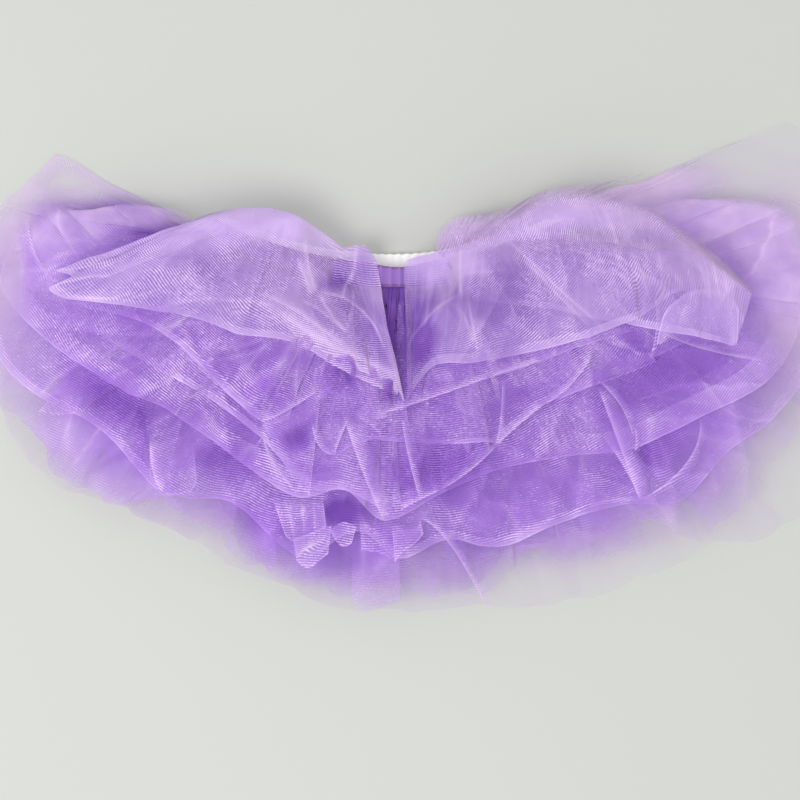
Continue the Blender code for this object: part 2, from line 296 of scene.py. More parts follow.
bpy.data.objects.remove(pattern, do_unlink=True)
stitch_mesh = bpy.data.meshes.new("casing_stitches")
stitch_mesh.from_pydata(stitch_places, [], stitch_faces)
stitches = bpy.data.objects.new("casing_stitches", stitch_mesh)
bpy.context.scene.collection.objects.link(stitches)
stitch_mesh.materials.append(stitch_thread())
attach(stitches, "root")


# The lowest net: one layer of the back's longest tier, lying on the surface all round
# the rest and pale because the surface shows through it. Like every tier it is soft
# nylon tulle, cut as a long strip, gathered along one edge and sewn to the casing.

# One ray of a tier's fan: its share of the way along the band, and its end at the hem.
Ray = namedtuple("Ray", "waist hem_x hem_y")

FLOOR_NET = [
    Ray(0.00, -212, 131),
    Ray(0.02, -236, 108),
    Ray(0.04, -258, 81),
    Ray(0.06, -268, 42),
    Ray(0.09, -264, 0),
    Ray(0.13, -240, -36),
    Ray(0.18, -218, -66),
    Ray(0.23, -179, -85),
    Ray(0.29, -140, -98),
    Ray(0.36, -101, -123),
    Ray(0.43, -56, -141),
    Ray(0.49, -10, -149),
    Ray(0.56, 34, -149),
    Ray(0.64, 83, -144),
    Ray(0.71, 120, -141),
    Ray(0.78, 152, -127),
    Ray(0.85, 188, -110),
    Ray(0.91, 222, -105),
    Ray(0.95, 249, -82),
    Ray(0.98, 265, -42),
    Ray(1.00, 268, 12),
]
FLOOR_NET_END = [
    Ray(1.00, 268, 66),
    Ray(1.00, 262, 114),
    Ray(1.00, 240, 150),
    Ray(1.00, 207, 140),
    Ray(0.97, 176, 128),
    Ray(0.93, 150, 118),
    Ray(0.88, 123, 111),
    Ray(0.84, 104, 109),
    Ray(0.79, 89, 107),
    Ray(0.74, 67, 97),
    Ray(0.70, 52, 93),
    Ray(0.65, 34, 91),
    Ray(0.61, 26, 85),
]
FLOOR_DROP = 9.0
FLOOR_END_DROP = 4.0
FLOOR_NET_Z = 1.4
FLOOR_NET_LOW = 0.3
FLOOR_NET_HIGH = 3.5
# The net itself: its meshes in metres, how rare its painted glints are, its painted glow, and its haze in the
# light.
NET_ROW = 0.00138
NET_COLUMN = 0.0011
NET_DASH = 0.001
NET_SPARKS = 0.965
NET_SPARK_CRISP = 20.0
NET_CLOUDS = 42.0
NET_PAINTED_GLOW = 0.05
NET_LYING_FLAT = 0.88
LIT_THROUGH = 0.12
LIT_THROUGH_COLOUR = (0.94, 0.8, 0.88, 1.0)
# Rows show less where tiers cross at both sides: from and to how far off a middle, in
# metres, and how much of them is left.
CROSSED_MIDDLE = 0.04
CROSSED_FROM = 0.165
CROSSED_TO = 0.225
CROSSED_ROWS = 0.3
# The most that net may be gathered, doubled and tilted, and the least of its cut it fills.
MOST_GATHERED = 2.2
MOST_PLIES = 6
MOST_STEEP = 5
LEAST_AREA = 0.31
# A hem that is turned up, and one that is cut raw: ragged and thinner towards its end.
# Each hem's edge gets a painted highlight, and a turned-up hem is painted paler.
HEM_LINE_HIGH = 0.0008
HEM_ROWS_FADE = 350.0
HEM_FOLD_STEPS = 6
HEM_FOLD_CRISP = 0.97
HEM_FOLD_PLIES = 1.7
HEM_FOLD_PALE = 0.38
HEM_WAVES = ((89, 0.4), (47, 0.35), (23, 0.15), (13, 0.06))
HEM_STREAKS = (9.1, 16.7, 29.0)
RAGGED_OVER = 0.35
RAGGED_FROM = 1.85
THINNER_FROM = 0.74
THINNER_OVER = 0.27
# Folds: gathered ones, placed creases, loose ones left by handling, and fine crinkles.
GATHER_SWAY = 0.012
GATHER_PLIES = 6
GATHER_CRISP = 0.05
CREASE_PLIES = 3
CREASE_FADE = 1.1
CREASE_LINE = 0.35
LOOSE_HALF = (10, 42)
LOOSE_WIDE = (2.5, 8)
LOOSE_BOW = 5
CRINKLES = 5
CRINKLE_TURN = 2.4
# Lilac as the threads are dyed, lit for painted highlights, where net is thin, and in painted shade deep in
# its folds.
LILAC = (0.46, 0.225, 0.79)
LILAC_LIT = (0.84, 0.62, 0.96)
LILAC_PALE = (0.62, 0.42, 0.85)
LILAC_SHADED = (0.20, 0.065, 0.46)

# A row of folds all the way across: how many, how unevenly they stand, how far each leans
# aside and rises, where down the net it peaks, how pale its painted highlight is, and how far it runs aslant.
Gathers = namedtuple("Gathers", "count drift push lift peak pale skew", defaults=(0.0,))
# A crease between two places: how far it bows aside, how wide it is (less than 0 turns its
# crisp side round), how pale its painted highlight is, how much net is tucked into it, and how high it
# stands.
Crease = namedtuple("Crease", "x0 y0 x1 y1 bow width pale tuck height", defaults=(0.33, 1.2))
# A place where net is bunched: half its length and height, how it leans in degrees, the
# plies it adds (less than 0 is the share it takes away), and how pale it is painted: painted light, or
# painted shade when less than 0.
Patch = namedtuple("Patch", "x y half_x half_y lean cover pale")

FLOOR_GATHERS = [
    Gathers(37, 1.6, 1.0, 0.4, 0.6, 0.1),
    Gathers(21, 1.7, 3.0, 0.8, 1.6, 0.12),
]
FLOOR_CREASES = [
    Crease(-212, 133, -174, 122, 0, 7.8, 0.3, 0.17, 0.6),
    Crease(-206, 134, -236, 106, 0, 9.1, 0.3, 0.17, 0.6),
    Crease(-206, 132, -196, 106, 1, 6.5, 0.15, 0.17, 0.6),
    Crease(144, 110, 165, 122, 0, 3.9, 0.25, 0.17, 0.6),
    Crease(180, 108, 214, 116, 1, 3.9, 0.25, 0.17, 0.6),
]
# Patches of the floor net, with painted light where it lies in the skirt's shadow and painted shade in its
# hollows.
FLOOR_PATCHES = [
    Patch(-190, 114, 26, 12, -30, -0.8, 0.3),
    Patch(-165, 114, 50, 8, -17, 3.0, 0.15),
    Patch(-222, 116, 28, 8, 50, 3.0, 0.15),
    Patch(-186, 105, 40, 7, 0, 1.5, 0.1),
    Patch(110, -104, 64, 12, 8, 3.0, -0.2),
    Patch(-112, -88, 24, 16, -14, 3.0, -0.3),
    Patch(-152, -80, 24, 14, -20, 4.0, 0.0),
    Patch(10, -128, 34, 12, 0, 2.5, -0.3),
    Patch(-40, -124, 32, 13, 0, 2.5, -0.3),
    Patch(150, 106, 30, 8, 5, 1.5, 0.1),
    Patch(210, 128, 60, 26, 0, -0.75, 0.1),
    Patch(-240, 50, 30, 70, 0, 2.2, 1.0),
    Patch(-228, 100, 16, 18, 30, 1.0, 0.5),
    Patch(246, 52, 30, 64, 0, 2.2, 0.9),
    Patch(258, -60, 30, 50, 0, -0.5, 0.1),
    Patch(146, 112, 44, 12, 5, 4.0, 1.0),
    Patch(180, -125, 80, 18, 10, -0.4, 0.1),
]
# Dense places in painted shade: the hollows between folds, shared by the inner plies and the lower tiers.
DENSE_SHADED_PLACES = [
    Patch(2, 20, 15, 38, 4, 2.5, -0.8),
    Patch(165, 5, 34, 9, -8, 0.8, -0.4),
    Patch(138, -12, 20, 9, 30, 0.8, -0.3),
    Patch(-35, -85, 11, 8, 0, 1.5, -0.9),
    Patch(-174, -15, 26, 11, -32, 1.0, -0.5),
    Patch(-4, -13, 6, 7, 0, 0.8, -0.6),
    Patch(-155, -42, 5, 22, 0, 0.8, -0.4),
    Patch(-105, -54, 22, 10, -20, 0.8, -0.4),
    Patch(24, -60, 30, 15, 8, 0.8, -0.4),
    Patch(-81, -90, 22, 12, 0, 0.8, -0.35),
    Patch(150, -48, 22, 10, 35, 0.8, -0.4),
    Patch(-156, 87, 28, 12, -12, 0.8, -0.4),
    Patch(-38, -6, 10, 8, 0, 0.5, -0.5),
    Patch(-61, -41, 8, 8, 20, 1.5, -0.6),
    Patch(-30, 2, 12, 8, -20, 1.0, -0.5),
    Patch(-78, -12, 12, 8, -40, 1.0, -0.4),
    Patch(-145, 86, 34, 12, -14, 1.5, -0.3),
    Patch(234, 34, 16, 44, 0, -0.6, 0.3),
    Patch(-236, 62, 12, 44, 0, -0.6, 0.3),
]


def smooth_between(rows, places):
    """Catmull-Rom curve through a table's rows, at places from 0 to 1 along it."""
    table = np.array(rows, float)
    last = len(table) - 1
    spot = np.clip(places, 0, 1) * last
    first = np.minimum(spot.astype(int), last - 1)
    t = (spot - first)[:, None]
    a, b, c, d = (table[np.clip(first + k, 0, last)] for k in (-1, 0, 1, 2))
    bend = (2 * a - 5 * b + 4 * c - d) * t**2 + (3 * b - a - 3 * c + d) * t**3
    return 0.5 * (2 * b + (c - a) * t + bend)


def from_band(rays, drop):
    """A fan's rays as rows of start and hem places, starting drop below the band's top."""
    rows = []
    for ray in rays:
        x, y = band_line(ray.waist)
        rows.append((x, y - drop, ray.hem_x, ray.hem_y))
    return rows


def lay_out(rows, across, down, fold=0.0):
    """Net spread between its gathered edge and its hem, flat, with its fold at the hem."""
    lay = SimpleNamespace()
    ends = smooth_between(rows, np.linspace(0, 1, across + 1))
    x0, y0, x1, y1 = (ends[:, k : k + 1] for k in range(4))
    long = np.hypot(x1 - x0, y1 - y0)
    turn = fold / float(long.mean())
    places = np.linspace(0, 1, down + 1)
    if fold:
        above = np.linspace(0, 1 - turn, down + 1 - HEM_FOLD_STEPS)
        places = np.concatenate([above, np.linspace(1 - HEM_FOLD_CRISP * turn, 1, HEM_FOLD_STEPS)])
    lay.u, lay.v = np.meshgrid(np.linspace(0, 1, across + 1), places, indexing="ij")
    lay.x = x0 + (x1 - x0) * lay.v
    lay.y = y0 + (y1 - y0) * lay.v
    lay.down_x, lay.down_y = (x1 - x0) / long, (y1 - y0) / long
    step_x = np.gradient(lay.x, axis=0)
    step_y = np.gradient(lay.y, axis=0)
    step = np.hypot(step_x, step_y) + 1e-9
    lay.side_x, lay.side_y = step_x / step, step_y / step
    lay.up = (1 - lay.v) * long
    lay.across = lay.u * float(np.hypot(np.diff(x1, axis=0), np.diff(y1, axis=0)).sum())
    lay.z = np.zeros_like(lay.x)
    lay.pale = np.zeros_like(lay.x)
    lay.plies = np.clip(step[:, -1:] / step, 1, MOST_GATHERED)
    if fold:
        uneven = 0.55 + 0.3 * np.sin(14 * lay.u + fold) + 0.15 * np.sin(31 * lay.u + 2 * fold)
        turned_up = np.arange(down + 1) > down - HEM_FOLD_STEPS
        lay.plies += HEM_FOLD_PLIES * uneven * turned_up
        # The turned-up hem is painted paler: a painted highlight.
        lay.pale += HEM_FOLD_PALE * uneven * turned_up
    return lay


def thin_sides(lay, reach, left):
    """Thins the net towards both sides, where the tier turns round to the back."""
    inward = np.clip(np.minimum(lay.u, 1 - lay.u) / reach, 0, 1)
    lay.plies *= left + (1 - left) * inward * inward * (3 - 2 * inward)
    return lay


def gather(lay, rows):
    """Puts rows of uneven folds into the net: each rises, and leans over its foot."""
    for row in rows:
        swaying = GATHER_SWAY * lay.v * np.sin(5 * lay.v + 19 * lay.u + row.count)
        leaning = lay.u + row.skew * lay.v + swaying
        turn = uneven_turn(leaning, row.count, row.drift)
        reach = lay.v / row.peak * np.exp(1 - lay.v / row.peak)
        uneven = 0.55 + 0.45 * np.sin(2 * np.pi * 3.7 * lay.u + 1.3 * row.count)
        strength = reach**1.5 * uneven
        lay.x -= row.push * strength * np.sin(2 * turn) * lay.side_x
        lay.y -= row.push * strength * np.sin(2 * turn) * lay.side_y
        lay.z += row.lift * strength * np.sin(turn)
        doubled = (turn / (2 * np.pi)) % 1
        doubled = doubled * np.clip((1 - doubled) / GATHER_CRISP, 0, 1)
        lay.plies += GATHER_PLIES * row.pale * strength * doubled**2
        # Painted highlight on each fold's doubled edge.
        lay.pale += row.pale * strength * (0.4 * doubled**2 + 1.2 * doubled**8)
    return lay


def crease(lay, rows):
    """Puts the listed creases into the net: each is a ridge, with some net tucked in it."""
    for row in rows:
        run_x, run_y = row.x1 - row.x0, row.y1 - row.y0
        long = math.hypot(run_x, run_y)
        run_x, run_y = run_x / long, run_y / long
        along = ((lay.x - row.x0) * run_x + (lay.y - row.y0) * run_y) / long
        off = (lay.y - row.y0) * run_x - (lay.x - row.x0) * run_y
        arch = np.clip(4 * along * (1 - along), 0, 1)
        off = (off - row.bow * arch) / row.width
        taper = np.clip(1.7 * arch, 0, 1)
        tucked = 0.5 * row.tuck * off * np.exp(-0.5 * off**2) * taper * row.width
        lay.x += tucked * run_y
        lay.y -= tucked * run_x
        lay.z += row.height * np.exp(-(off**2)) * taper
        doubled = np.exp(-np.clip(off, 0, None) / CREASE_FADE) * np.clip(1 + 6 * off, 0, 1) * taper
        lay.plies = np.maximum(lay.plies + CREASE_PLIES * row.pale * doubled, 0.2 * lay.plies)
        # Painted highlight along the crease's crest and on its doubled side.
        lay.pale += row.pale * (0.25 * doubled + np.exp(-((off / CREASE_LINE) ** 2)) * taper)
    return lay


def loose_folds(lay, count, seed, lean=0.45, pale=0.3):
    """Folds left by handling, uneven in length, lean and width: crisp on one side each."""
    chance = np.random.default_rng(seed)
    folds = []
    for _ in range(count):
        i = chance.integers(4, lay.x.shape[0] - 4)
        j = int(lay.x.shape[1] * chance.uniform(0.25, 0.97))
        along = math.atan2(lay.down_y[i, 0], lay.down_x[i, 0]) + chance.normal(0, lean)
        half = chance.uniform(*LOOSE_HALF)
        run_x, run_y = half * math.cos(along), half * math.sin(along)
        x, y = lay.x[i, j], lay.y[i, j]
        wide = chance.uniform(*LOOSE_WIDE) * chance.choice([-1, 1])
        # Each fold gets a painted highlight, or now and then painted shade.
        shade = chance.uniform(0.3, 1) * pale * chance.choice([1, 1, -0.8])
        sides = (x - run_x, y - run_y, x + run_x, y + run_y)
        bow = chance.uniform(-LOOSE_BOW, LOOSE_BOW)
        folds.append(Crease(*sides, bow, wide, shade, tuck=0.3, height=0.8))
    return crease(lay, folds)


def patch(lay, rows):
    """Bunches net into dense places, or thins it, and paints light or shade on it there."""
    for row in rows:
        turn = math.radians(row.lean)
        along = (lay.x - row.x) * math.cos(turn) + (lay.y - row.y) * math.sin(turn)
        aside = (lay.y - row.y) * math.cos(turn) - (lay.x - row.x) * math.sin(turn)
        inside = np.exp(-(((along / row.half_x) ** 2 + (aside / row.half_y) ** 2) ** 1.5))
        if row.cover < 0:
            lay.plies *= 1 + row.cover * inside
        else:
            lay.plies += row.cover * inside
        lay.pale += row.pale * inside
    return lay


def raw_hem(lay, ragged, fade, seed):
    """A raw hem: uneven in its length, and thinner towards its end."""
    turn = 2 * np.pi * lay.across
    uneven = sum(size * np.sin(turn / wave + seed * wave) for wave, size in HEM_WAVES)
    streaks = sum(np.sin(turn / wave + 3 * seed * wave) for wave in HEM_STREAKS) / len(HEM_STREAKS)
    end = np.clip(lay.v / RAGGED_OVER - RAGGED_FROM, 0, 1) ** 2
    lay.x -= ragged * (0.5 + 0.5 * uneven) * end * lay.down_x
    lay.y -= ragged * (0.5 + 0.5 * uneven) * end * lay.down_y
    thin = np.clip((lay.v - THINNER_FROM - 0.1 * uneven) / THINNER_OVER, 0, 1)
    lay.plies *= 1 - fade * thin * (3 - 2 * thin) * thin * (1 - 0.15 * streaks)
    return lay


def crumple(lay, size, lift, pale, start=1.0):
    """Small irregular crinkles all over, as in net that has been handled: painted highlights on their ridges,
    painted shade between.
    """
    ridges = np.zeros_like(lay.x)
    wander = 0.4 * size * np.sin(lay.x / (0.9 * size) + start) * np.sin(lay.y / (1.3 * size) + 2 * start)
    for k in range(CRINKLES):
        angle = start + CRINKLE_TURN * k
        place = (lay.x + wander) * math.cos(angle) + (lay.y - wander) * math.sin(angle)
        phase = place / (size * (0.7 + 0.17 * k)) + 1.7 * math.sin(angle) * np.sin(lay.u * 11 + k)
        ridges += (1 - np.abs(np.sin(phase))) ** 3 / CRINKLES
    lay.z += lift * (ridges - 0.25)
    lay.pale += pale * (ridges - 0.2)
    return lay


def clipped(tree, operation, *values):
    """One step of arithmetic, kept between 0 and 1."""
    return put(tree, "ShaderNodeMath", values, operation=operation, use_clamp=True).outputs[0]


def thread_rows(tree, across, patchy):
    """The net's rows of thread, broken into uneven dashes, with its columns and painted glints along them."""
    row_place = painted(tree, "row")
    cell = put(tree, "ShaderNodeCombineXYZ", [across, row_place, 0.0]).outputs[0]
    cell = put(tree, "ShaderNodeVectorMath", [cell], operation="SNAP")
    cell.inputs[1].default_value = (NET_DASH, NET_ROW, 1.0)
    dash = put(tree, "ShaderNodeTexWhiteNoise", noise_dimensions="3D")
    tree.links.new(cell.outputs[0], dash.inputs["Vector"])
    dash = dash.outputs["Value"]
    row = ribs(tree, row_place, NET_ROW, calc(tree, "MULTIPLY_ADD", patchy, 1.5, -0.75))
    row = calc(tree, "MULTIPLY", row, calc(tree, "MULTIPLY_ADD", dash, 0.5, 0.75))
    mesh = calc(tree, "MULTIPLY_ADD", ribs(tree, across, NET_COLUMN), 0.25, row)
    # Painted glints: a few dashes lit up as if catching the light.
    spark = clipped(tree, "MULTIPLY_ADD", dash, NET_SPARK_CRISP, -NET_SPARK_CRISP * NET_SPARKS)
    return row, mesh, calc(tree, "MULTIPLY", spark, calc(tree, "MULTIPLY", row, row))


def rows_shown(tree, rows, patchy, place, up, cover):
    """How far the rows show: in patches, less in folds, at the hem and where plies cross."""
    shown = clipped(tree, "MULTIPLY_ADD", patchy, 4.0 * rows, -1.25 * rows)
    shown = calc(tree, "MULTIPLY", shown, clipped(tree, "MULTIPLY_ADD", up, HEM_ROWS_FADE, -0.4))
    shown = calc(tree, "MULTIPLY", shown, clipped(tree, "MULTIPLY_ADD", cover, -3.3, 2.9))
    along_band = put(tree, "ShaderNodeSeparateXYZ", [place]).outputs[0]
    aside = calc(tree, "ABSOLUTE", calc(tree, "ADD", along_band, CROSSED_MIDDLE))
    reach = [aside, CROSSED_FROM, CROSSED_TO, 1.0, CROSSED_ROWS]
    return calc(tree, "MULTIPLY", shown, put(tree, "ShaderNodeMapRange", reach).outputs[0])


def soft_light_on(tree, shader):
    """Lights the net as a haze of thread does: nearly level, and a little from behind."""
    normal = put(tree, "ShaderNodeNewGeometry").outputs["Normal"]
    side = calc(tree, "SIGN", put(tree, "ShaderNodeSeparateXYZ", [normal]).outputs[2])
    level = put(tree, "ShaderNodeCombineXYZ", [0.0, 0.0, side]).outputs[0]
    flatter = put(tree, "ShaderNodeMix", data_type="VECTOR")
    flatter.inputs[0].default_value = NET_LYING_FLAT
    tree.links.new(normal, flatter.inputs[4])
    tree.links.new(level, flatter.inputs[5])
    flatter = put(tree, "ShaderNodeVectorMath", [flatter.outputs[1]], operation="NORMALIZE")
    tree.links.new(flatter.outputs[0], shader.inputs["Normal"])
    through = put(tree, "ShaderNodeBsdfTranslucent", [LIT_THROUGH_COLOUR]).outputs[0]
    return put(tree, "ShaderNodeMixShader", [LIT_THROUGH, shader.outputs[0], through]).outputs[0]


def net_material(name, thread, light, shaded, rows, cloud=0.3, hem_line=0.12, glint=0.2):
    """Soft tulle: rows of meshes with the air between them clear, painted glints and a painted highlight
    along the hem.
    """
    material, tree, shader = start_material(name, 0.6, 0.12)
    shader.inputs["Sheen Tint"].default_value = (*LILAC_LIT, 1.0)
    shader.inputs["Emission Strength"].default_value = NET_PAINTED_GLOW
    across, up = cut_place(tree)
    place = put(tree, "ShaderNodeNewGeometry").outputs["Position"]
    cloudy = put(tree, "ShaderNodeTexNoise", noise_dimensions="3D")
    cloudy.inputs["Scale"].default_value = NET_CLOUDS
    cloudy.inputs["Detail"].default_value = 2.0
    tree.links.new(place, cloudy.inputs["Vector"])
    patchy = cloudy.outputs[0]
    cover = painted(tree, "cover")
    row, mesh, painted_glints = thread_rows(tree, across, patchy)
    shown = rows_shown(tree, rows, patchy, place, up, cover)

    meshes = calc(tree, "MULTIPLY", shown, 1.3)
    meshes = calc(tree, "MULTIPLY_ADD", calc(tree, "SUBTRACT", mesh, 0.62), meshes, 1.0)
    clouded = calc(tree, "MULTIPLY_ADD", patchy, 2 * cloud, 1 - cloud)
    filled = calc(tree, "MULTIPLY", calc(tree, "MULTIPLY", cover, meshes), clouded)
    # Painted highlight along the hem's edge, added to the glints.
    patchy_hem = calc(tree, "MULTIPLY_ADD", patchy, 3.0, -0.7)
    hem = calc(tree, "MULTIPLY", calc(tree, "LESS_THAN", up, HEM_LINE_HIGH), patchy_hem)
    bright = calc(tree, "MULTIPLY_ADD", painted_glints, glint, calc(tree, "MULTIPLY", hem, hem_line))
    filled = clipped(tree, "ADD", filled, bright)

    tone = calc(tree, "MULTIPLY_ADD", calc(tree, "SUBTRACT", row, 0.5), shown, painted(tree, "pale"))
    tone = calc(tree, "MULTIPLY_ADD", calc(tree, "SUBTRACT", patchy, 0.5), 0.6, tone)
    colour = blend_colours(tree, calc(tree, "MULTIPLY_ADD", bright, 1.6, tone), thread, light)
    # Below 0 the tone turns to the shaded colour: painted shade where pale is below 0, and the gaps between
    # rows.
    colour = blend_colours(tree, calc(tree, "MULTIPLY", tone, -1.0), colour, shaded)
    tree.links.new(colour, shader.inputs["Base Color"])
    # Painted glow: the net gives off a little of its own colour, which lifts its shade.
    tree.links.new(colour, shader.inputs["Emission Color"])
    clear = put(tree, "ShaderNodeBsdfTransparent").outputs[0]
    veil = put(tree, "ShaderNodeMixShader", [filled, clear, soft_light_on(tree, shader)])
    tree.links.new(veil.outputs[0], tree.nodes["Material Output"].inputs["Surface"])
    return material


def steepness(lay):
    """How much net stands over each part of the floor: 1 where it lies flat."""
    along = [np.gradient(side, axis=0) for side in (lay.x, lay.y, lay.z)]
    down = [np.gradient(side, axis=1) for side in (lay.x, lay.y, lay.z)]
    normal = np.cross(np.stack(along, axis=-1), np.stack(down, axis=-1))
    return np.clip(np.linalg.norm(normal, axis=-1) / (np.abs(normal[..., 2]) + 1e-9), 1, MOST_STEEP)


def net_piece(name, lays, material, cover, pale=0.0, bow=(0.0, 190.0), steep_painted_light=0.35):
    """A sheet of net, denser at its folds and painted lighter where it stands steep, its rows bowed round a
    point above the band.
    """
    grids, covers, pales, rows = [], [], [], []
    for lay in lays:
        steep = steepness(lay)
        grids.append((lay.x, lay.y, lay.z, lay.across, lay.up))
        covers.append((1 - (1 - cover) ** (np.clip(lay.plies, 0, MOST_PLIES) * steep)).ravel())
        # Painted light where the net stands steep, against the shade in its folds.
        shade = lay.pale + pale + steep_painted_light * np.clip(steep - 1.15, 0, 2)
        pales.append(np.clip(shade, -1, 1).ravel())
        rows.append(((np.hypot(lay.x - bow[0], lay.y - bow[1]) + 0.5 * lay.z) * MM).ravel())
    values = {"cover": covers, "pale": pales, "row": rows}
    piece = cloth_piece(name, grids, **{key: np.concatenate(parts) for key, parts in values.items()})
    piece.data.materials.append(material)
    return piece


def declare(lays):
    """Works out the flat cut's hem length, longest drop and area, but keeps none of them."""
    width, area = 0.0, 0.0
    for lay in lays:
        sides = np.stack([lay.x, lay.y, lay.z], axis=-1) * MM
        hem = sides[:, -1]
        width += float(np.linalg.norm(np.diff(hem, axis=0), axis=-1).sum())
        cells = np.cross(np.diff(sides, axis=0)[:, :-1], np.diff(sides, axis=1)[:-1])
        area += float(np.linalg.norm(cells, axis=-1).sum())
    length = max(float(lay.up.max()) for lay in lays) * MM
    area = min(max(area, LEAST_AREA * width * length), width * length)


pale_net = net_material("pale_net", LILAC_PALE, LILAC_LIT, LILAC, rows=0.06, hem_line=0.03, glint=0.06)
lay = lay_out(from_band(FLOOR_NET, FLOOR_DROP) + from_band(FLOOR_NET_END, FLOOR_END_DROP), 520, 44)
lay = crease(gather(lay, FLOOR_GATHERS), FLOOR_CREASES)
lay = patch(loose_folds(lay, count=60, seed=8, lean=0.3, pale=0.35), FLOOR_PATCHES)
lay = crumple(raw_hem(lay, ragged=8.0, fade=0.6, seed=1.3), size=17, lift=0.7, pale=0.6)
lay.z = np.clip(lay.z + FLOOR_NET_Z, FLOOR_NET_LOW, FLOOR_NET_HIGH)
floor_net = net_piece("floor_net", [lay], pale_net, cover=0.18)
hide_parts("floor_tier")
declare([lay])


# The inner layers: the many hidden plies of net that make the skirt stand up, shown as
# dense sheets one above the other, each shorter than the one below.
HEAP = 17.0
HEAP_HALF_X = 272.0
HEAP_HALF_Y = 146.0
HEAP_MIDDLE_Y = -10.0
HEAP_POWER = 2.4
PUFF_REACH = 34.0
INNER_Z = 4.0
INNER_DRAWN_IN = 0.27
WIDE_GATHERS = 13
WIDE_GATHER = 2.2
# One ply: its reach towards the fifth tier's hem, its share of the heap's height, its
# cover and a number that sets its own run of folds.
Inner = namedtuple("Inner", "name reach share cover seed")

INNER_PLIES = [
    Inner("inner_ply_lowest", 0.98, 0.30, 0.34, 3),
    Inner("inner_ply_middle", 0.92, 0.60, 0.36, 5),
    Inner("inner_ply_upper", 0.80, 0.88, 0.50, 8),
]
FIFTH_TIER = [
    Ray(0.00, -192, 113),
    Ray(0.01, -206, 106),
    Ray(0.02, -238, 101),
    Ray(0.03, -257, 68),
    Ray(0.05, -258, 6),
    Ray(0.10, -234, -32),
    Ray(0.15, -213, -66),
    Ray(0.21, -179, -81),
    Ray(0.28, -145, -88),
    Ray(0.34, -116, -98),
    Ray(0.40, -95, -125),
    Ray(0.46, -63, -132),
    Ray(0.51, -30, -141),
    Ray(0.56, 4, -137),
    Ray(0.61, 48, -141),
    Ray(0.67, 84, -117),
    Ray(0.73, 120, -108),
    Ray(0.79, 150, -99),
    Ray(0.84, 182, -104),
    Ray(0.88, 210, -88),
    Ray(0.92, 236, -50),
    Ray(0.96, 257, 0),
    Ray(0.98, 260, 60),
    Ray(1.00, 232, 99),
]
TIER_DROP = CASING - 2.0


def away(x, y, half):
    """0 where the gathers are held at the band, rising to 1 away from it."""
    reach = half / WAIST_HALF
    across = np.clip((x - WAIST_X) / WAIST_HALF, -reach, reach)
    edge_x, edge_y = band_line((across + 1) / 2)
    beyond = np.maximum(np.maximum(y - edge_y, edge_y - CASING - y), 0)
    return 1 - np.exp(-np.hypot(x - edge_x, beyond) / PUFF_REACH)


def heap(x, y):
    """Height that the hidden layers lift the tiers by."""
    out = np.abs(x / HEAP_HALF_X) ** HEAP_POWER + np.abs((y - HEAP_MIDDLE_Y) / HEAP_HALF_Y) ** HEAP_POWER
    return HEAP * np.clip(1 - out, 0, None)


def wide_folds(x, y):
    """The broad gathers that all tiers share, fanning out from above the band."""
    turn = np.arctan2(x - WAIST_X, WAIST_DIP + 2 * WAIST_RISE - y) / np.pi
    return WIDE_GATHER * (1 + np.sin(2 * np.pi * WIDE_GATHERS * turn))


# The inner plies' threads take the shaded lilac: painted shade for net that lies under the rest.
inner_net = net_material("inner_net", LILAC_SHADED, LILAC, LILAC_SHADED, rows=0.3, cloud=0.25,
                         hem_line=0.0, glint=0.0)
for ply in INNER_PLIES:
    rows = []
    for ray, (x0, y0, x1, y1) in zip(FIFTH_TIER, from_band(FIFTH_TIER, TIER_DROP)):
        reach = ply.reach - INNER_DRAWN_IN * abs(2 * ray.waist - 1) ** 3
        rows.append((x0, y0, x0 + (x1 - x0) * reach, y0 + (y1 - y0) * reach))
    lay = lay_out(rows, 260, 40)
    lifted = heap(lay.x, lay.y) + wide_folds(lay.x, lay.y)
    lay.z += INNER_Z + ply.share * away(lay.x, lay.y, WAIST_HALF) * lifted
    small = Gathers(29 + ply.seed, 1.4, 1.0, 0.5, 0.45, 0.15)
    broad = Gathers(12 + ply.seed, 1.5, 2.0, 0.8, 1.0, 0.25)
    lay = gather(lay, [small, broad])
    lay = patch(thin_sides(lay, reach=0.2, left=0.0), DENSE_SHADED_PLACES)
    lay = raw_hem(lay, ragged=16.0, fade=0.9, seed=ply.seed)
    piece = net_piece(ply.name, [lay], inner_net, ply.cover)
    declare([lay])
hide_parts("inner_layers")


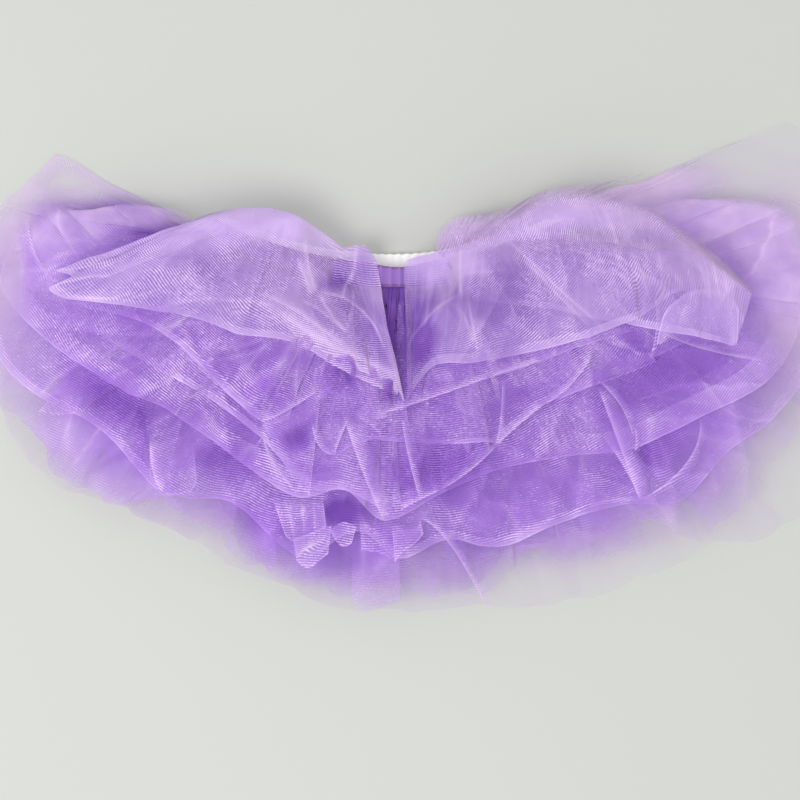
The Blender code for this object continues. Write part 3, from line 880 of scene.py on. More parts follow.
# The fifth tier, the front's longest. Like every tier it is a strip of net gathered into
# the casing's lower edge, and it lies on the inner layers with its ruffles standing a
# little. It thins out to one pale layer at its hem, which is left raw.
FIRST_TIER_Z = 5.8
TIER_STEP = 2.4
TIER_APART = 7.0
TIER_SAG = 1.5
TIER_FINE = (460, 68)
INNER_CLEAR = 2.4
OVERLAP_LIFT = 1.5
OVERLAP_EDGE = 1.1
FIFTH_CREASES = [
    Crease(-226, 104, -204, 42, -4, 10.4, 0.35, 0.22, 1.8),
    Crease(-236, 108, -222, 24, -3, 9.1, 0.3, 0.22),
    Crease(-180, 122, -132, 102, 3, 6.5, 0.3, 0.17),
    Crease(-60, -78, -56, -138, 3, 11.7, 0.15, 0.22, 1.8),
    Crease(-24, -102, -26, -149, 2, 7.8, 0.4, 0.22, 1.8),
    Crease(-83, -78, -87, -123, 3, 10.4, 0.15, 0.22),
    Crease(6, -90, 11, -145, -3, 10.4, 0.12, 0.22),
    Crease(96, -78, 111, -138, 3, 11.7, 0.15, 0.22, 1.8),
    Crease(60, -90, 69, -138, 2, 11.7, 0.12, 0.22),
    Crease(144, -72, 174, -114, 4, 10.4, 0.2, 0.22, 1.8),
    Crease(207, -42, 234, -72, 3, 9.1, 0.2, 0.22, 1.8),
    Crease(-150, -78, -144, -102, 2, 9.1, 0.15, 0.22, 1.8),
    Crease(-204, -30, -210, -66, 3, 9.1, 0.15, 0.22, 1.8),
]
FIFTH_PATCHES = [
    Patch(-42, -120, 30, 18, 0, 1.4, -0.1),
    Patch(12, -123, 25, 14, 0, 1.0, 0.0),
    Patch(96, -88, 60, 13, 5, 1.2, -0.1),
    Patch(144, -88, 35, 14, 15, 1.0, 0.0),
    Patch(-165, -57, 26, 14, -35, 1.2, 0.0),
    Patch(-156, 89, 30, 13, -12, 1.6, -0.45),
    Patch(168, 91, 34, 11, 0, 1.2, -0.2),
    Patch(-171, -13, 30, 12, -32, 1.5, -0.4),
    Patch(-81, -96, 22, 20, 0, 1.6, -0.3),
    Patch(-42, -114, 12, 20, 0, 1.6, -0.4),
    Patch(150, -6, 50, 16, 12, 1.0, -0.3),
    Patch(222, -60, 20, 26, 0, -0.5, 0.2),
    Patch(-222, 0, 20, 34, 0, -0.5, 0.2),
]
FIFTH_FRINGE = [
    Patch(-184, -50, 52, 22, -37, 1.2, 0.1),
    Patch(96, -90, 44, 14, 8, 0.8, -0.1),
    Patch(-50, -110, 30, 14, 0, 1.0, -0.2),
]
# One ray of net that starts away from the band: its first place and its end at the hem.
Fold = namedtuple("Fold", "edge_x edge_y hem_x hem_y")
FIFTH_LEFT_SIDE = [
    Fold(-111, 85, -135, 100),
    Fold(-132, 81, -156, 104),
    Fold(-150, 75, -180, 106),
    Fold(-168, 69, -204, 104),
    Fold(-183, 63, -222, 99),
    Fold(-192, 54, -233, 78),
    Fold(-192, 45, -235, 48),
    Fold(-180, 36, -228, 30),
]
FIFTH_SIDE_CREASES = [
    Crease(-228, 104, -203, 40, -5, 3.5, 0.7, 0.2),
    Crease(-212, 105, -190, 62, -3, 3.0, 0.3, 0.2),
    Crease(228, 96, 205, 52, 3, 3.5, 0.3, 0.2),
]
FIFTH_RIGHT_SIDE = [
    Fold(120, 93, 158, 106),
    Fold(144, 87, 194, 107),
    Fold(156, 78, 224, 106),
    Fold(174, 69, 248, 98),
    Fold(186, 60, 256, 72),
    Fold(198, 48, 256, 42),
    Fold(204, 36, 250, 12),
]
FRONT_PANEL = [
    Fold(-29, -96, -29, -149),
    Fold(-22, -96, -21, -151),
    Fold(-14, -95, -13, -150),
    Fold(-6, -94, -4, -148),
    Fold(-1, -94, 1, -146),
]


def net_height(x, y, level, waist_z, half):
    """Height of net that is held at the band, within half of its length, and lifted beyond."""
    return waist_z + away(x, y, half) * (INNER_CLEAR + heap(x, y) + level * TIER_APART + wide_folds(x, y))


def tier_height(x, y, level):
    """Height of a lower tier, counted up from 0 for the fifth, over the hidden heap."""
    return net_height(x, y, level, FIRST_TIER_Z + level * TIER_STEP, WAIST_HALF)


def tier_ply(hem, creases, patches, level, folds, hem_fold=0.0):
    """One ply of a lower tier: folds gathered small at the band and broad at the hem."""
    lay = lay_out(from_band(hem, TIER_DROP), *TIER_FINE, hem_fold)
    lay.z += tier_height(lay.x, lay.y, level) - TIER_SAG * level * lay.v**2
    lay = gather(
        lay,
        [
            Gathers(59 + folds, 1.6, 0.6, 0.4, 0.16, 0.3),
            Gathers(19 + folds, 1.6, 1.0, 0.9, 0.5, 0.12),
            Gathers(folds, 1.5, 2.6, 2.4, 1.0, 0.16),
            Gathers(folds - 3, 1.3, 0.0, 0.4, 0.9, 0.3, 0.16),
            Gathers(folds + 4, 1.3, 0.0, 0.4, 0.9, 0.22, -0.2),
        ],
    )
    lay = thin_sides(lay, reach=0.14, left=0.0)
    lay = crease(lay, creases)
    lay = loose_folds(lay, count=34, seed=int(10 * level) + 3)
    lay = patch(patch(lay, DENSE_SHADED_PLACES), patches)
    return crumple(lay, size=15, lift=1.2, pale=0.3, start=level)


def overlap(rows, level, pale=0.12, rim=0.45, fade=0.4, fine=(60, 44)):
    """Net of a tier lying over itself: one end fades under, the other edges are folds with a painted
    highlight.
    """
    lay = lay_out(rows, *fine, 1.3)
    lay.z += OVERLAP_LIFT - 0.8 * level + tier_height(lay.x, lay.y, level)
    shown = np.clip(lay.v / fade, 0, 1) if fade else 1.0
    edge = np.exp(-np.minimum(lay.u, 1 - lay.u) * float(lay.across.max()) / OVERLAP_EDGE)
    if not fade:
        edge = np.maximum(edge, np.exp(-(float(lay.up.max()) - lay.up) / OVERLAP_EDGE))
    lay.plies = (1.4 * np.minimum(lay.plies, 1.8) + 1.6 * edge) * shown
    # Painted light over it (less than 0, painted shade) and a painted highlight along its fold edges.
    lay.pale += (pale + rim * edge) * shown
    lay.up += 2.5
    return crumple(lay, size=8, lift=0.7, pale=0.3, start=level + rows[0].edge_x)


low_net = net_material("low_net", LILAC, LILAC_LIT, LILAC_SHADED, rows=0.2, hem_line=0.0, glint=0.12)
lay = tier_ply(FIFTH_TIER, FIFTH_CREASES, FIFTH_PATCHES, level=0, folds=14)
lay = raw_hem(loose_folds(lay, count=30, seed=12, lean=0.2), ragged=13.0, fade=0.85, seed=2.1)
fifth_lays = [patch(lay, FIFTH_FRINGE)]
for rows, seed in ((FIFTH_LEFT_SIDE, 0.4), (FIFTH_RIGHT_SIDE, 2.9)):
    side = crease(overlap(rows, 0.5, pale=0.6, rim=0.0, fine=(160, 60)), FIFTH_SIDE_CREASES)
    side = gather(side, [Gathers(5, 1.2, 1.5, 1.0, 0.7, 0.15), Gathers(2, 0.6, 3.0, 1.0, 0.8, 0.2)])
    side = crumple(thin_sides(side, reach=0.2, left=0.0), size=19, lift=0.5, pale=0.5, start=seed)
    side.plies *= 1.1 * np.clip((1.02 - side.v) / 0.3, 0, 1)
    fifth_lays.append(raw_hem(side, ragged=16.0, fade=0.95, seed=seed))
panel = overlap(FRONT_PANEL, 0.2, pale=0.35, rim=0.1, fade=0.5)
panel = raw_hem(thin_sides(panel, reach=0.12, left=0.2), ragged=8.0, fade=0.9, seed=1.7)
panel.plies *= 0.6
fifth_lays.append(panel)
fifth_tier = net_piece("fifth_tier_net", fifth_lays, low_net, cover=0.38, bow=(0.0, 300.0))
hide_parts("fifth_tier")
declare(fifth_lays)


# The fourth tier, with a narrow turned-up hem. Its ruffles stand in loose folds at the
# left and the middle, and one long fold runs down past its hem.
FOURTH_TIER = [
    Ray(0.00, -234, 98),
    Ray(0.03, -246, 62),
    Ray(0.06, -242, 10),
    Ray(0.10, -217, -16),
    Ray(0.15, -190, -29),
    Ray(0.21, -171, -44),
    Ray(0.28, -150, -69),
    Ray(0.34, -127, -77),
    Ray(0.40, -100, -80),
    Ray(0.46, -60, -112),
    Ray(0.51, -26, -97),
    Ray(0.56, 0, -113),
    Ray(0.61, 28, -102),
    Ray(0.67, 61, -106),
    Ray(0.73, 98, -91),
    Ray(0.79, 136, -81),
    Ray(0.85, 169, -78),
    Ray(0.90, 197, -49),
    Ray(0.94, 225, -28),
    Ray(0.97, 248, 10),
    Ray(1.00, 240, 78),
]
FOURTH_CREASES = [
    Crease(-160, -19, -149, -72, 3, 6.5, -0.3, 0.33, -1.8),
    Crease(-150, -43, -144, -73, -2, 5.2, 0.3, 0.55, 1.8),
    Crease(-126, -42, -124, -74, 2, 5.2, 0.25, 0.44),
    Crease(-216, -15, -192, 4, 2, 6.5, 0.3, 0.39, 1.8),
    Crease(-192, 2, -194, -24, 2, 5.2, 0.2, 0.44, 1.8),
    Crease(-42, -78, -62, -114, 3, 6.5, 0.2, 0.44, 1.8),
    Crease(104, -81, 144, -78, 1, 5.2, 0.3),
    Crease(144, -33, 153, -71, 3, 6.5, 0.3, 0.44, 1.8),
    Crease(60, -78, 72, -114, 3, 9.1, 0.2, 0.39, 1.8),
]
FOURTH_PATCHES = [
    Patch(-177, -18, 26, 11, -30, 1.0, -0.5),
    Patch(-108, -57, 24, 14, -15, 0.8, -0.4),
    Patch(-83, -36, 16, 10, -30, 0.8, -0.4),
    Patch(-35, -85, 11, 8, 0, 2.0, -0.9),
    Patch(156, -51, 24, 13, 35, 1.0, -0.4),
    Patch(96, -72, 44, 9, 8, 0.6, -0.2),
    Patch(204, 14, 18, 20, 0, 1.0, 0.5),
]
FOURTH_LEFT_FLAP = [
    Fold(-150, -43, -150, -62),
    Fold(-144, -41, -144, -74),
    Fold(-136, -42, -134, -75),
    Fold(-129, -42, -126, -74),
    Fold(-124, -44, -122, -66),
]
FOURTH_LEFT_POINT = [
    Fold(-192, 3, -217, -25),
    Fold(-192, 2, -206, -27),
    Fold(-191, 1, -194, -26),
]
STRIP_FINE = (61, 15)
# A fold that stands up: it runs through three places, with its width at both ends (less
# than 0 is to the other side) and how high its crisp side rises.
Strip = namedtuple("Strip", "x0 y0 x1 y1 x2 y2 wide0 wide1 lift")
FOURTH_FOLDS = [
    Strip(12, -89, 30, -105, 52, -143, 5, 4, 5),
    Strip(180, -29, 172, -55, 144, -78, 4, 6, 5),
    Strip(-150, -42, -148, -62, -142, -74, 10, 8, 3),
    Strip(120, -38, 134, -58, 144, -78, 12, 8, 4),
    Strip(-224, 90, -216, 64, -204, 54, -7, -8, 3),
]


def standing_folds(strips, level):
    """Folds of a tier that stand up and lean over: crisp along one side, with a painted highlight, soft on
    the other.
    """
    lays = []
    for strip in strips:
        lay = SimpleNamespace()
        u, v = np.meshgrid(np.linspace(0, 1, STRIP_FINE[0]), np.linspace(0, 1, STRIP_FINE[1]), indexing="ij")
        lay.u, lay.v = u, v
        mid_x = 2 * strip.x1 - (strip.x0 + strip.x2) / 2
        mid_y = 2 * strip.y1 - (strip.y0 + strip.y2) / 2
        lay.x = (1 - u) ** 2 * strip.x0 + 2 * u * (1 - u) * mid_x + u**2 * strip.x2
        lay.y = (1 - u) ** 2 * strip.y0 + 2 * u * (1 - u) * mid_y + u**2 * strip.y2
        run_x, run_y = np.gradient(lay.x, axis=0), np.gradient(lay.y, axis=0)
        run = np.hypot(run_x, run_y)
        wide = strip.wide0 + (strip.wide1 - strip.wide0) * u
        wide = wide * (1 + 0.25 * np.sin(7 * u + strip.x0) * np.sin(11 * u + strip.y0))
        lay.x = lay.x - wide * v * run_y / run
        lay.y = lay.y + wide * v * run_x / run
        ends = np.clip(7 * u, 0, 1) * np.clip(7 * (1 - u), 0, 1)
        lay.z = tier_height(lay.x, lay.y, level)
        lay.z += 1 - 0.8 * level + 0.5 * strip.lift * ends * (1 - v) ** 1.5
        lay.across = np.cumsum(run, axis=0)
        lay.up = 3 + np.abs(wide) * (1 - v)
        # Painted highlight along the crisp side, on a fold painted paler.
        crisp = np.exp(-((v / 0.2) ** 2))
        lay.pale = 0.32 + 0.38 * crisp
        lay.plies = (3.0 * (1 - v) ** 0.9 + 1.0 * crisp) * ends
        lays.append(lay)
    return lays


fourth_net = net_material("fourth_net", LILAC, LILAC_LIT, LILAC_SHADED, rows=1.0)
fourth_lays = [tier_ply(FOURTH_TIER, FOURTH_CREASES, FOURTH_PATCHES, level=1, folds=12, hem_fold=5.5)]
fourth_lays += standing_folds(FOURTH_FOLDS, 1.05)
fourth_lays += [overlap(FOURTH_LEFT_FLAP, 1.0), overlap(FOURTH_LEFT_POINT, 1.0)]
fourth_tier = net_piece("fourth_tier_net", fourth_lays, fourth_net, cover=0.23, pale=-0.08, bow=(0.0, 250.0))
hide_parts("fourth_tier")
declare(fourth_lays)


# The third tier. Its hem is turned up 14 mm, which shows as a denser ribbed strip along
# the left, and on the right it stands in two wide folds over a hollow, dark with painted shade.
THIRD_TIER = [
    Ray(0.00, -226, 88),
    Ray(0.04, -240, 52),
    Ray(0.09, -212, 18),
    Ray(0.15, -168, -11),
    Ray(0.22, -142, -23),
    Ray(0.28, -121, -37),
    Ray(0.34, -93, -57),
    Ray(0.41, -62, -76),
    Ray(0.47, -33, -72),
    Ray(0.52, -9, -90),
    Ray(0.58, 25, -74),
    Ray(0.65, 58, -60),
    Ray(0.73, 98, -52),
    Ray(0.80, 139, -47),
    Ray(0.87, 181, -28),
    Ray(0.94, 222, -5),
    Ray(0.98, 240, 30),
    Ray(1.00, 228, 66),
]
THIRD_CREASES = [
    Crease(-192, 4, -180, 15, 1, 3.2, 0.4, 0.44),
    Crease(-174, 24, -132, -18, 3, 7.8, 0.15),
    Crease(-150, -20, -111, -18, 3, 6.5, 0.15),
    Crease(-83, -32, -70, -67, -3, 3.9, 0.4, 0.5),
    Crease(-122, -15, -96, -55, 3, 5.2, -0.2, 0.33, -1.2),
    Crease(120, -8, 139, -36, 4, 5.2, 0.4, 0.44, 2.4),
    Crease(96, -21, 120, -42, 3, 6.5, 0.2),
    Crease(6, -54, 12, -78, 2, 5.2, 0.3, 0.44),
]
THIRD_PATCHES = [
    Patch(9, -60, 16, 22, 0, 0.8, -0.35),
    Patch(42, -54, 34, 10, 10, 0.5, -0.3),
    Patch(153, -9, 34, 13, 20, 1.0, -0.3),
    Patch(-90, -30, 18, 9, -35, 0.6, -0.3),
]
THIRD_FOLDS = [
    Strip(118, -6, 132, -22, 139, -40, 4, 3, 5),
    Strip(140, -34, 141, -42, 140, -48, 3, 3, 3),
    Strip(118, -10, 130, -42, 143, -78, 11, 9, 4),
    Strip(-83, -31, -78, -52, -62, -74, 3, 4, 4),
    Strip(154, 23, 183, 12, 220, 5, 3, 3, 4),
    Strip(-135, 12, -108, -10, -83, -34, 5, 3, 3),
    Strip(-90, -15, -80, -30, -88, -47, 3, 3, 3),
]
RIGHT_POCKET = [
    Fold(120, -8, 127, -16),
    Fold(137, -1, 133, -21),
    Fold(154, 5, 151, -16),
    Fold(158, 15, 169, -10),
    Fold(180, 13, 184, -4),
    Fold(201, 10, 202, 9),
]
RIGHT_TRIANGLE = [
    Fold(115, 9, 87, -20),
    Fold(123, 11, 104, -14),
    Fold(132, 12, 120, -8),
    Fold(142, 12, 137, -2),
    Fold(150, 12, 153, 5),
]

third_net = net_material("third_net", LILAC, LILAC_LIT, LILAC_SHADED, rows=1.3)
third_lays = [tier_ply(THIRD_TIER, THIRD_CREASES, THIRD_PATCHES, level=2, folds=11, hem_fold=14.0)]
third_lays += standing_folds(THIRD_FOLDS, 2.05)
# Painted shade in the hollow under the folds.
third_lays.append(overlap(RIGHT_POCKET, 2.0, pale=-0.55, rim=0.1, fade=0.0))
third_lays.append(overlap(RIGHT_TRIANGLE, 2.1))
third_tier = net_piece("third_tier_net", third_lays, third_net, cover=0.23, pale=-0.08, bow=(-10.0, 150.0))
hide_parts("third_tier")
declare(third_lays)


# The second tier, of two plies: the longer shows as a diagonal strip on the right, the
# shorter ends high, and between them a fold of it shows its rows of meshes level.
SECOND_TIER = [
    Ray(0.00, -210, 42),
    Ray(0.07, -180, 36),
    Ray(0.13, -150, 27),
    Ray(0.19, -120, 2),
    Ray(0.25, -99, -19),
    Ray(0.31, -79, -32),
    Ray(0.37, -60, -26),
    Ray(0.43, -42, -14),
    Ray(0.46, -33, -18),
    Ray(0.50, -15, -29),
    Ray(0.54, 0, -24),
    Ray(0.60, 24, -15),
    Ray(0.68, 60, -3),
    Ray(0.75, 84, 5),
    Ray(0.82, 111, 15),
    Ray(0.88, 144, 24),
    Ray(0.94, 180, 29),
    Ray(1.00, 209, 36),
]
SECOND_TIER_UNDER = [
    Ray(0.00, -210, 40),
    Ray(0.06, -180, 21),
    Ray(0.12, -144, 0),
    Ray(0.18, -111, -19),
    Ray(0.25, -82, -42),
    Ray(0.31, -54, -70),
    Ray(0.37, -33, -72),
    Ray(0.43, -10, -83),
    Ray(0.48, 0, -80),
    Ray(0.52, 12, -77),
    Ray(0.56, 24, -72),
    Ray(0.60, 39, -59),
    Ray(0.64, 58, -44),
    Ray(0.68, 75, -29),
    Ray(0.72, 87, -20),
    Ray(0.77, 108, -12),
    Ray(0.82, 129, -2),
    Ray(0.87, 149, 6),
    Ray(0.94, 174, 18),
    Ray(1.00, 204, 30),
]
SECOND_MIDDLE = [
    Fold(-60, 42, -47, -49),
    Fold(-48, 42, -38, -51),
    Fold(-36, 42, -30, -46),
    Fold(-24, 42, -17, -42),
    Fold(-6, 42, 0, -43),
    Fold(12, 42, 18, -44),
    Fold(30, 42, 36, -44),
    Fold(42, 42, 51, -43),
    Fold(48, 42, 58, -44),
]
SECOND_CREASES = [
    Crease(-58, 15, -60, -25, -3, 3.9, 0.35, 0.5),
    Crease(-47, 5, -49, -19, 1, 3.9, 0.25, 0.44),
    Crease(-28, 1, -35, -20, -2, 3.9, 0.2, 0.44),
    Crease(-126, 30, -83, -18, 3, 9.1, 0.12, 0.33, 1.8),
    Crease(-102, 21, -72, -27, -3, 7.8, 0.12),
    Crease(-9, -5, -6, -21, 1, 3.2, 0.2, 0.44),
    Crease(0, 2, -6, -18, 0, 3.9, 0.15, 0.39),
    Crease(42, 24, 60, -3, 2, 7.8, 0.1),
    Crease(96, 24, 111, 8, 1, 3.9, 0.3, 0.44),
]
SECOND_PATCHES = [
    Patch(-38, -6, 10, 8, 0, 0.8, -0.7),
    Patch(-4, -13, 5, 6, 0, 0.8, -0.6),
    Patch(-5, 31, 9, 30, 0, 3.0, -0.9),
    Patch(-90, 0, 26, 22, -40, 0.3, -0.12),
]
UNDER_CREASES = [
    Crease(-83, -32, -60, -71, -3, 3.9, 0.4, 0.5),
    Crease(96, -21, 120, -9, 2, 7.8, 0.1),
    Crease(120, 24, 146, 7, 0, 3.2, 0.45, 0.44),
    Crease(111, 25, 137, 11, 0, 3.2, 0.3, 0.44),
    Crease(105, -5, 115, 11, 0, 3.2, 0.4, 0.44),
    Crease(84, -18, 105, -42, 2, 6.5, 0.12),
]
UNDER_PATCHES = [
    Patch(28, -59, 32, 16, 5, 1.0, -0.45),
    Patch(78, -15, 22, 10, 15, 0.4, -0.25),
]
MIDDLE_CREASES = [
    Crease(-29, -25, -9, -41, 1, 3.9, 0.35, 0.44),
    Crease(18, -21, 22, -44, 2, 7.8, 0.1, 0.28),
]
SECOND_FOLDS = [
    Strip(-34, -27, -22, -62, -9, -92, 13, 8, 4),
    Strip(61, -6, 60, -28, 57, -45, 3, 3, 4),
    Strip(1, -29, 5, -52, 12, -78, 4, 4, 4),
    Strip(-53, -32, -48, -46, -39, -51, 5, 5, 4),
    Strip(-39, -51, -36, -42, -30, -28, 3, 3, 4),
    Strip(-83, -31, -70, -26, -48, -12, 9, 5, 3),
    Strip(152, 44, 153, 26, 149, 7, 4, 3, 5),
    Strip(-15, -28, 24, -15, 54, -4, 4, 6, 4),
    Strip(54, -4, 70, 1, 84, 6, 6, 3, 4),
    Strip(24, -72, 42, -60, 58, -45, 3, 4, 4),
    Strip(58, -45, 71, -33, 87, -20, 5, 4, 4),
    Strip(87, -20, 102, -9, 115, 9, 4, 3, 4),
    Strip(0, -84, 11, -78, 24, -72, 4, 3, 4),
    Strip(-69, 36, -54, 12, 0, -16, 14, 16, 2),
]
TEARDROP = [
    Fold(-82, -32, -75, -45),
    Fold(-75, -29, -70, -55),
    Fold(-66, -27, -65, -63),
    Fold(-57, -24, -60, -70),
    Fold(-48, -20, -54, -75),
]
# Net thinned in the teardrop's hollow, and painted shade there.
TEARDROP_SHADED_HOLLOW = [Patch(-61, -40, 9, 8, 20, -0.5, -0.8)]


def small_ply(rows, creases, height, fine, hem_fold, start):
    """A short sheet of net on its own: only its own creases and a few crinkles."""
    lay = lay_out(rows, *fine, hem_fold)
    lay.z += height(lay.x, lay.y)
    lay.plies = np.minimum(lay.plies, 1.8)
    return crumple(crease(lay, creases), size=9, lift=0.6, pale=0.25, start=start)


def middle_height(x, y):
    """Height of the level fold, just under the shorter ply."""
    return tier_height(x, y, 2.8)


under_net = net_material("under_net", LILAC, LILAC_LIT, LILAC_SHADED, rows=1.2)
lay = tier_ply(SECOND_TIER_UNDER, UNDER_CREASES, UNDER_PATCHES, level=2.6, folds=9, hem_fold=5.0)
under_ply = net_piece("second_tier_under", [lay], under_net, cover=0.21, pale=-0.08, bow=(0.0, 130.0))
declare([lay])

level_net = net_material("level_net", LILAC, LILAC_LIT, LILAC_SHADED, rows=2.2, glint=0.35)
lay = small_ply(SECOND_MIDDLE, MIDDLE_CREASES, middle_height, fine=(160, 60), hem_fold=3.0, start=1.0)
lay = thin_sides(lay, reach=0.12, left=0.1)
middle_ply = net_piece("second_tier_middle", [lay], level_net, cover=0.3, pale=-0.15, bow=(0.0, 1000.0))
declare([lay])

second_net = net_material("second_net", LILAC, LILAC_LIT, LILAC_SHADED, rows=1.4)
second_lays = [tier_ply(SECOND_TIER, SECOND_CREASES, SECOND_PATCHES, level=3, folds=10, hem_fold=4.5)]
second_lays += standing_folds(SECOND_FOLDS, 3.05)
second_lays.append(patch(overlap(TEARDROP, 2.9, fade=0.0), TEARDROP_SHADED_HOLLOW))
second_tier = net_piece("second_tier_net", second_lays, second_net, cover=0.23, pale=-0.08, bow=(10.0, 190.0))
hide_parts("second_tier")
declare(second_lays)


# The ruffles at the front's middle, where the fourth tier's hem is bunched: two small
# hoods of net, a dense fold between them and a pointed one at the right.
RUFFLE_VEIL = [
    Fold(-77, -75, -69, -99),
    Fold(-69, -76, -64, -103),
    Fold(-61, -77, -59, -101),
    Fold(-54, -78, -52, -98),
    Fold(-46, -78, -44, -94),
]
HOOD_LEFT = [
    Fold(-64, -101, -62, -114),
    Fold(-58, -99, -58, -118),
    Fold(-52, -97, -53, -118),
    Fold(-46, -95, -48, -114),
    Fold(-41, -93, -43, -110),
]
HOOD_MIDDLE = [
    Fold(-42, -96, -40, -100),
    Fold(-37, -92, -36, -105),
    Fold(-32, -91, -33, -106),
    Fold(-26, -94, -29, -104),
]
DENSE_FOLD = [
    Fold(-24, -92, -23, -108),
    Fold(-17, -90, -16, -109),
    Fold(-10, -90, -9, -111),
    Fold(-4, -91, -3, -114),
    Fold(2, -93, 1, -110),
]
POINTED_FOLD = [
    Fold(-5, -92, -3, -115),
    Fold(3, -92, 3, -108),
    Fold(9, -93, 9, -104),
    Fold(12, -89, 14, -98),
]
RUFFLE_PLEATS = [
    Crease(-70, -78, -64, -101, 1, 2.6, 0.3, 0.39),
    Crease(-60, -78, -58, -99, 1, 2.6, 0.3, 0.39),
    Crease(-52, -78, -51, -97, 0, 2.6, 0.3, 0.39),
]
HOOD_CREASES = [
    Crease(-62, -113, -50, -104, 1, 2.6, 0.4, 0.39, 1.8),
    Crease(-59, -108, -43, -99, -1, 2.6, 0.3, 0.39, 1.8),
    Crease(-10, -91, -9, -110, 0, 3.9, 0.15, 0.28),
]

ruffle_lays = [
    crease(overlap(RUFFLE_VEIL, 1.5), RUFFLE_PLEATS),
    crease(overlap(HOOD_LEFT, 1.8, pale=0.2, rim=0.35, fade=0.0), HOOD_CREASES),
    overlap(HOOD_MIDDLE, 1.7, pale=0.1, rim=0.35, fade=0.0),
    crease(overlap(DENSE_FOLD, 1.7, pale=-0.25, rim=0.3, fade=0.3), HOOD_CREASES),
    overlap(POINTED_FOLD, 1.8, pale=0.1, rim=0.45, fade=0.3),
]
ruffles = net_piece("fourth_tier_ruffles", ruffle_lays, fourth_net, cover=0.32, pale=0.1, bow=(0.0, 400.0))
declare(ruffle_lays)


# The back tier: net of the back that puffs up past the waistband on the right, in a
# soft roll behind the top tier.
BACK_TIER = [
    Ray(0.63, 23, 84),
    Ray(0.66, 34, 92),
    Ray(0.69, 52, 94),
    Ray(0.72, 67, 98),
    Ray(0.75, 80, 105),
    Ray(0.78, 93, 109),
    Ray(0.81, 107, 111),
    Ray(0.84, 122, 113),
    Ray(0.87, 136, 116),
    Ray(0.90, 148, 119),
]
BACK_TIER_Z = 3.9
BACK_TIER_CLEAR = 1.2
BACK_PUFF = 15.0
BACK_PUFFS = 5
BACK_PUFF_SWELL = 0.25
BACK_ROLL_TURN = 0.8 * np.pi

lay = lay_out(from_band(BACK_TIER, -BACK_SHOWS - BACK_TIER_CLEAR), 200, 36)
rising = np.minimum(1, 4 * lay.u)
swell = 1 + BACK_PUFF_SWELL * np.sin(2 * np.pi * BACK_PUFFS * lay.u)
lay.z += BACK_TIER_Z + BACK_PUFF * swell * rising * np.sin(BACK_ROLL_TURN * lay.v)
lay = gather(lay, [Gathers(17, 1.5, 1.4, 0.8, 0.5, 0.3)])
lay = crumple(lay, size=9, lift=1.0, pale=0.35, start=2.0)
lay.plies *= np.clip((1 - lay.u) / 0.35, 0.1, 1)
back_net = net_piece("back_tier_net", [lay], pale_net, cover=0.3, pale=0.6)
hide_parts("back_tier")
declare([lay])


# The top tier: two lobes of the shortest net. Each rises from the casing past its top
# edge, rolls back over it and falls forward, so its rays have a place on the rolled edge
# as well as one on the hem. The bare middle of the casing shows between the lobes.
TOP_LEFT = [
    Fold(-120, 91, -184, 64),
    Fold(-118, 92, -206, 60),
    Fold(-115, 93, -197, 56),
    Fold(-112, 94, -210, 49),
    Fold(-107, 95, -201, 43),
    Fold(-101, 96, -187, 41),
    Fold(-90, 97, -156, 37),
    Fold(-79, 97, -120, 29),
    Fold(-69, 95, -96, 21),
    Fold(-60, 92, -71, 18),
    Fold(-51, 86, -48, 8),
    Fold(-42, 80, -27, 0),
    Fold(-33, 74, -13, -6),
    Fold(-27, 75, -6, -10),
    Fold(-20, 74, -1, -15),
    Fold(-14, 66, 3, -19),
]
TOP_RIGHT_BACK = [
    Fold(20, 74, 42, 42),
    Fold(26, 85, 52, 41),
    Fold(34, 92, 60, 40),
    Fold(50, 93, 77, 38),
    Fold(67, 95, 91, 36),
    Fold(77, 102, 103, 33),
    Fold(89, 108, 115, 31),
    Fold(107, 109, 128, 29),
    Fold(121, 106, 142, 26),
    Fold(144, 99, 158, 23),
    Fold(166, 87, 176, 20),
    Fold(182, 77, 190, 17),
    Fold(197, 65, 198, 15),
    Fold(211, 49, 203, 18),
]
TOP_RIGHT_FRONT = [
    Fold(2, 65, 4, -19),
    Fold(9, 68, 7, -13),
    Fold(18, 70, 13, -5),
    Fold(28, 73, 20, 2),
    Fold(39, 76, 28, 4),
    Fold(49, 79, 42, 4),
    Fold(60, 82, 60, 7),
    Fold(69, 84, 75, 10),
    Fold(84, 83, 93, 14),
    Fold(99, 82, 111, 19),
    Fold(114, 81, 127, 25),
    Fold(129, 79, 142, 31),
    Fold(144, 77, 151, 37),
    Fold(159, 76, 161, 44),
    Fold(174, 74, 174, 49),
]
RIGHT_FLAP = [
    Fold(158, 16, 153, 15),
    Fold(164, 18, 157, 33),
    Fold(170, 20, 165, 42),
    Fold(176, 20, 174, 47),
    Fold(184, 20, 189, 48),
    Fold(189, 20, 197, 43),
    Fold(192, 18, 202, 37),
    Fold(195, 16, 202, 25),
    Fold(197, 14, 201, 15),
]
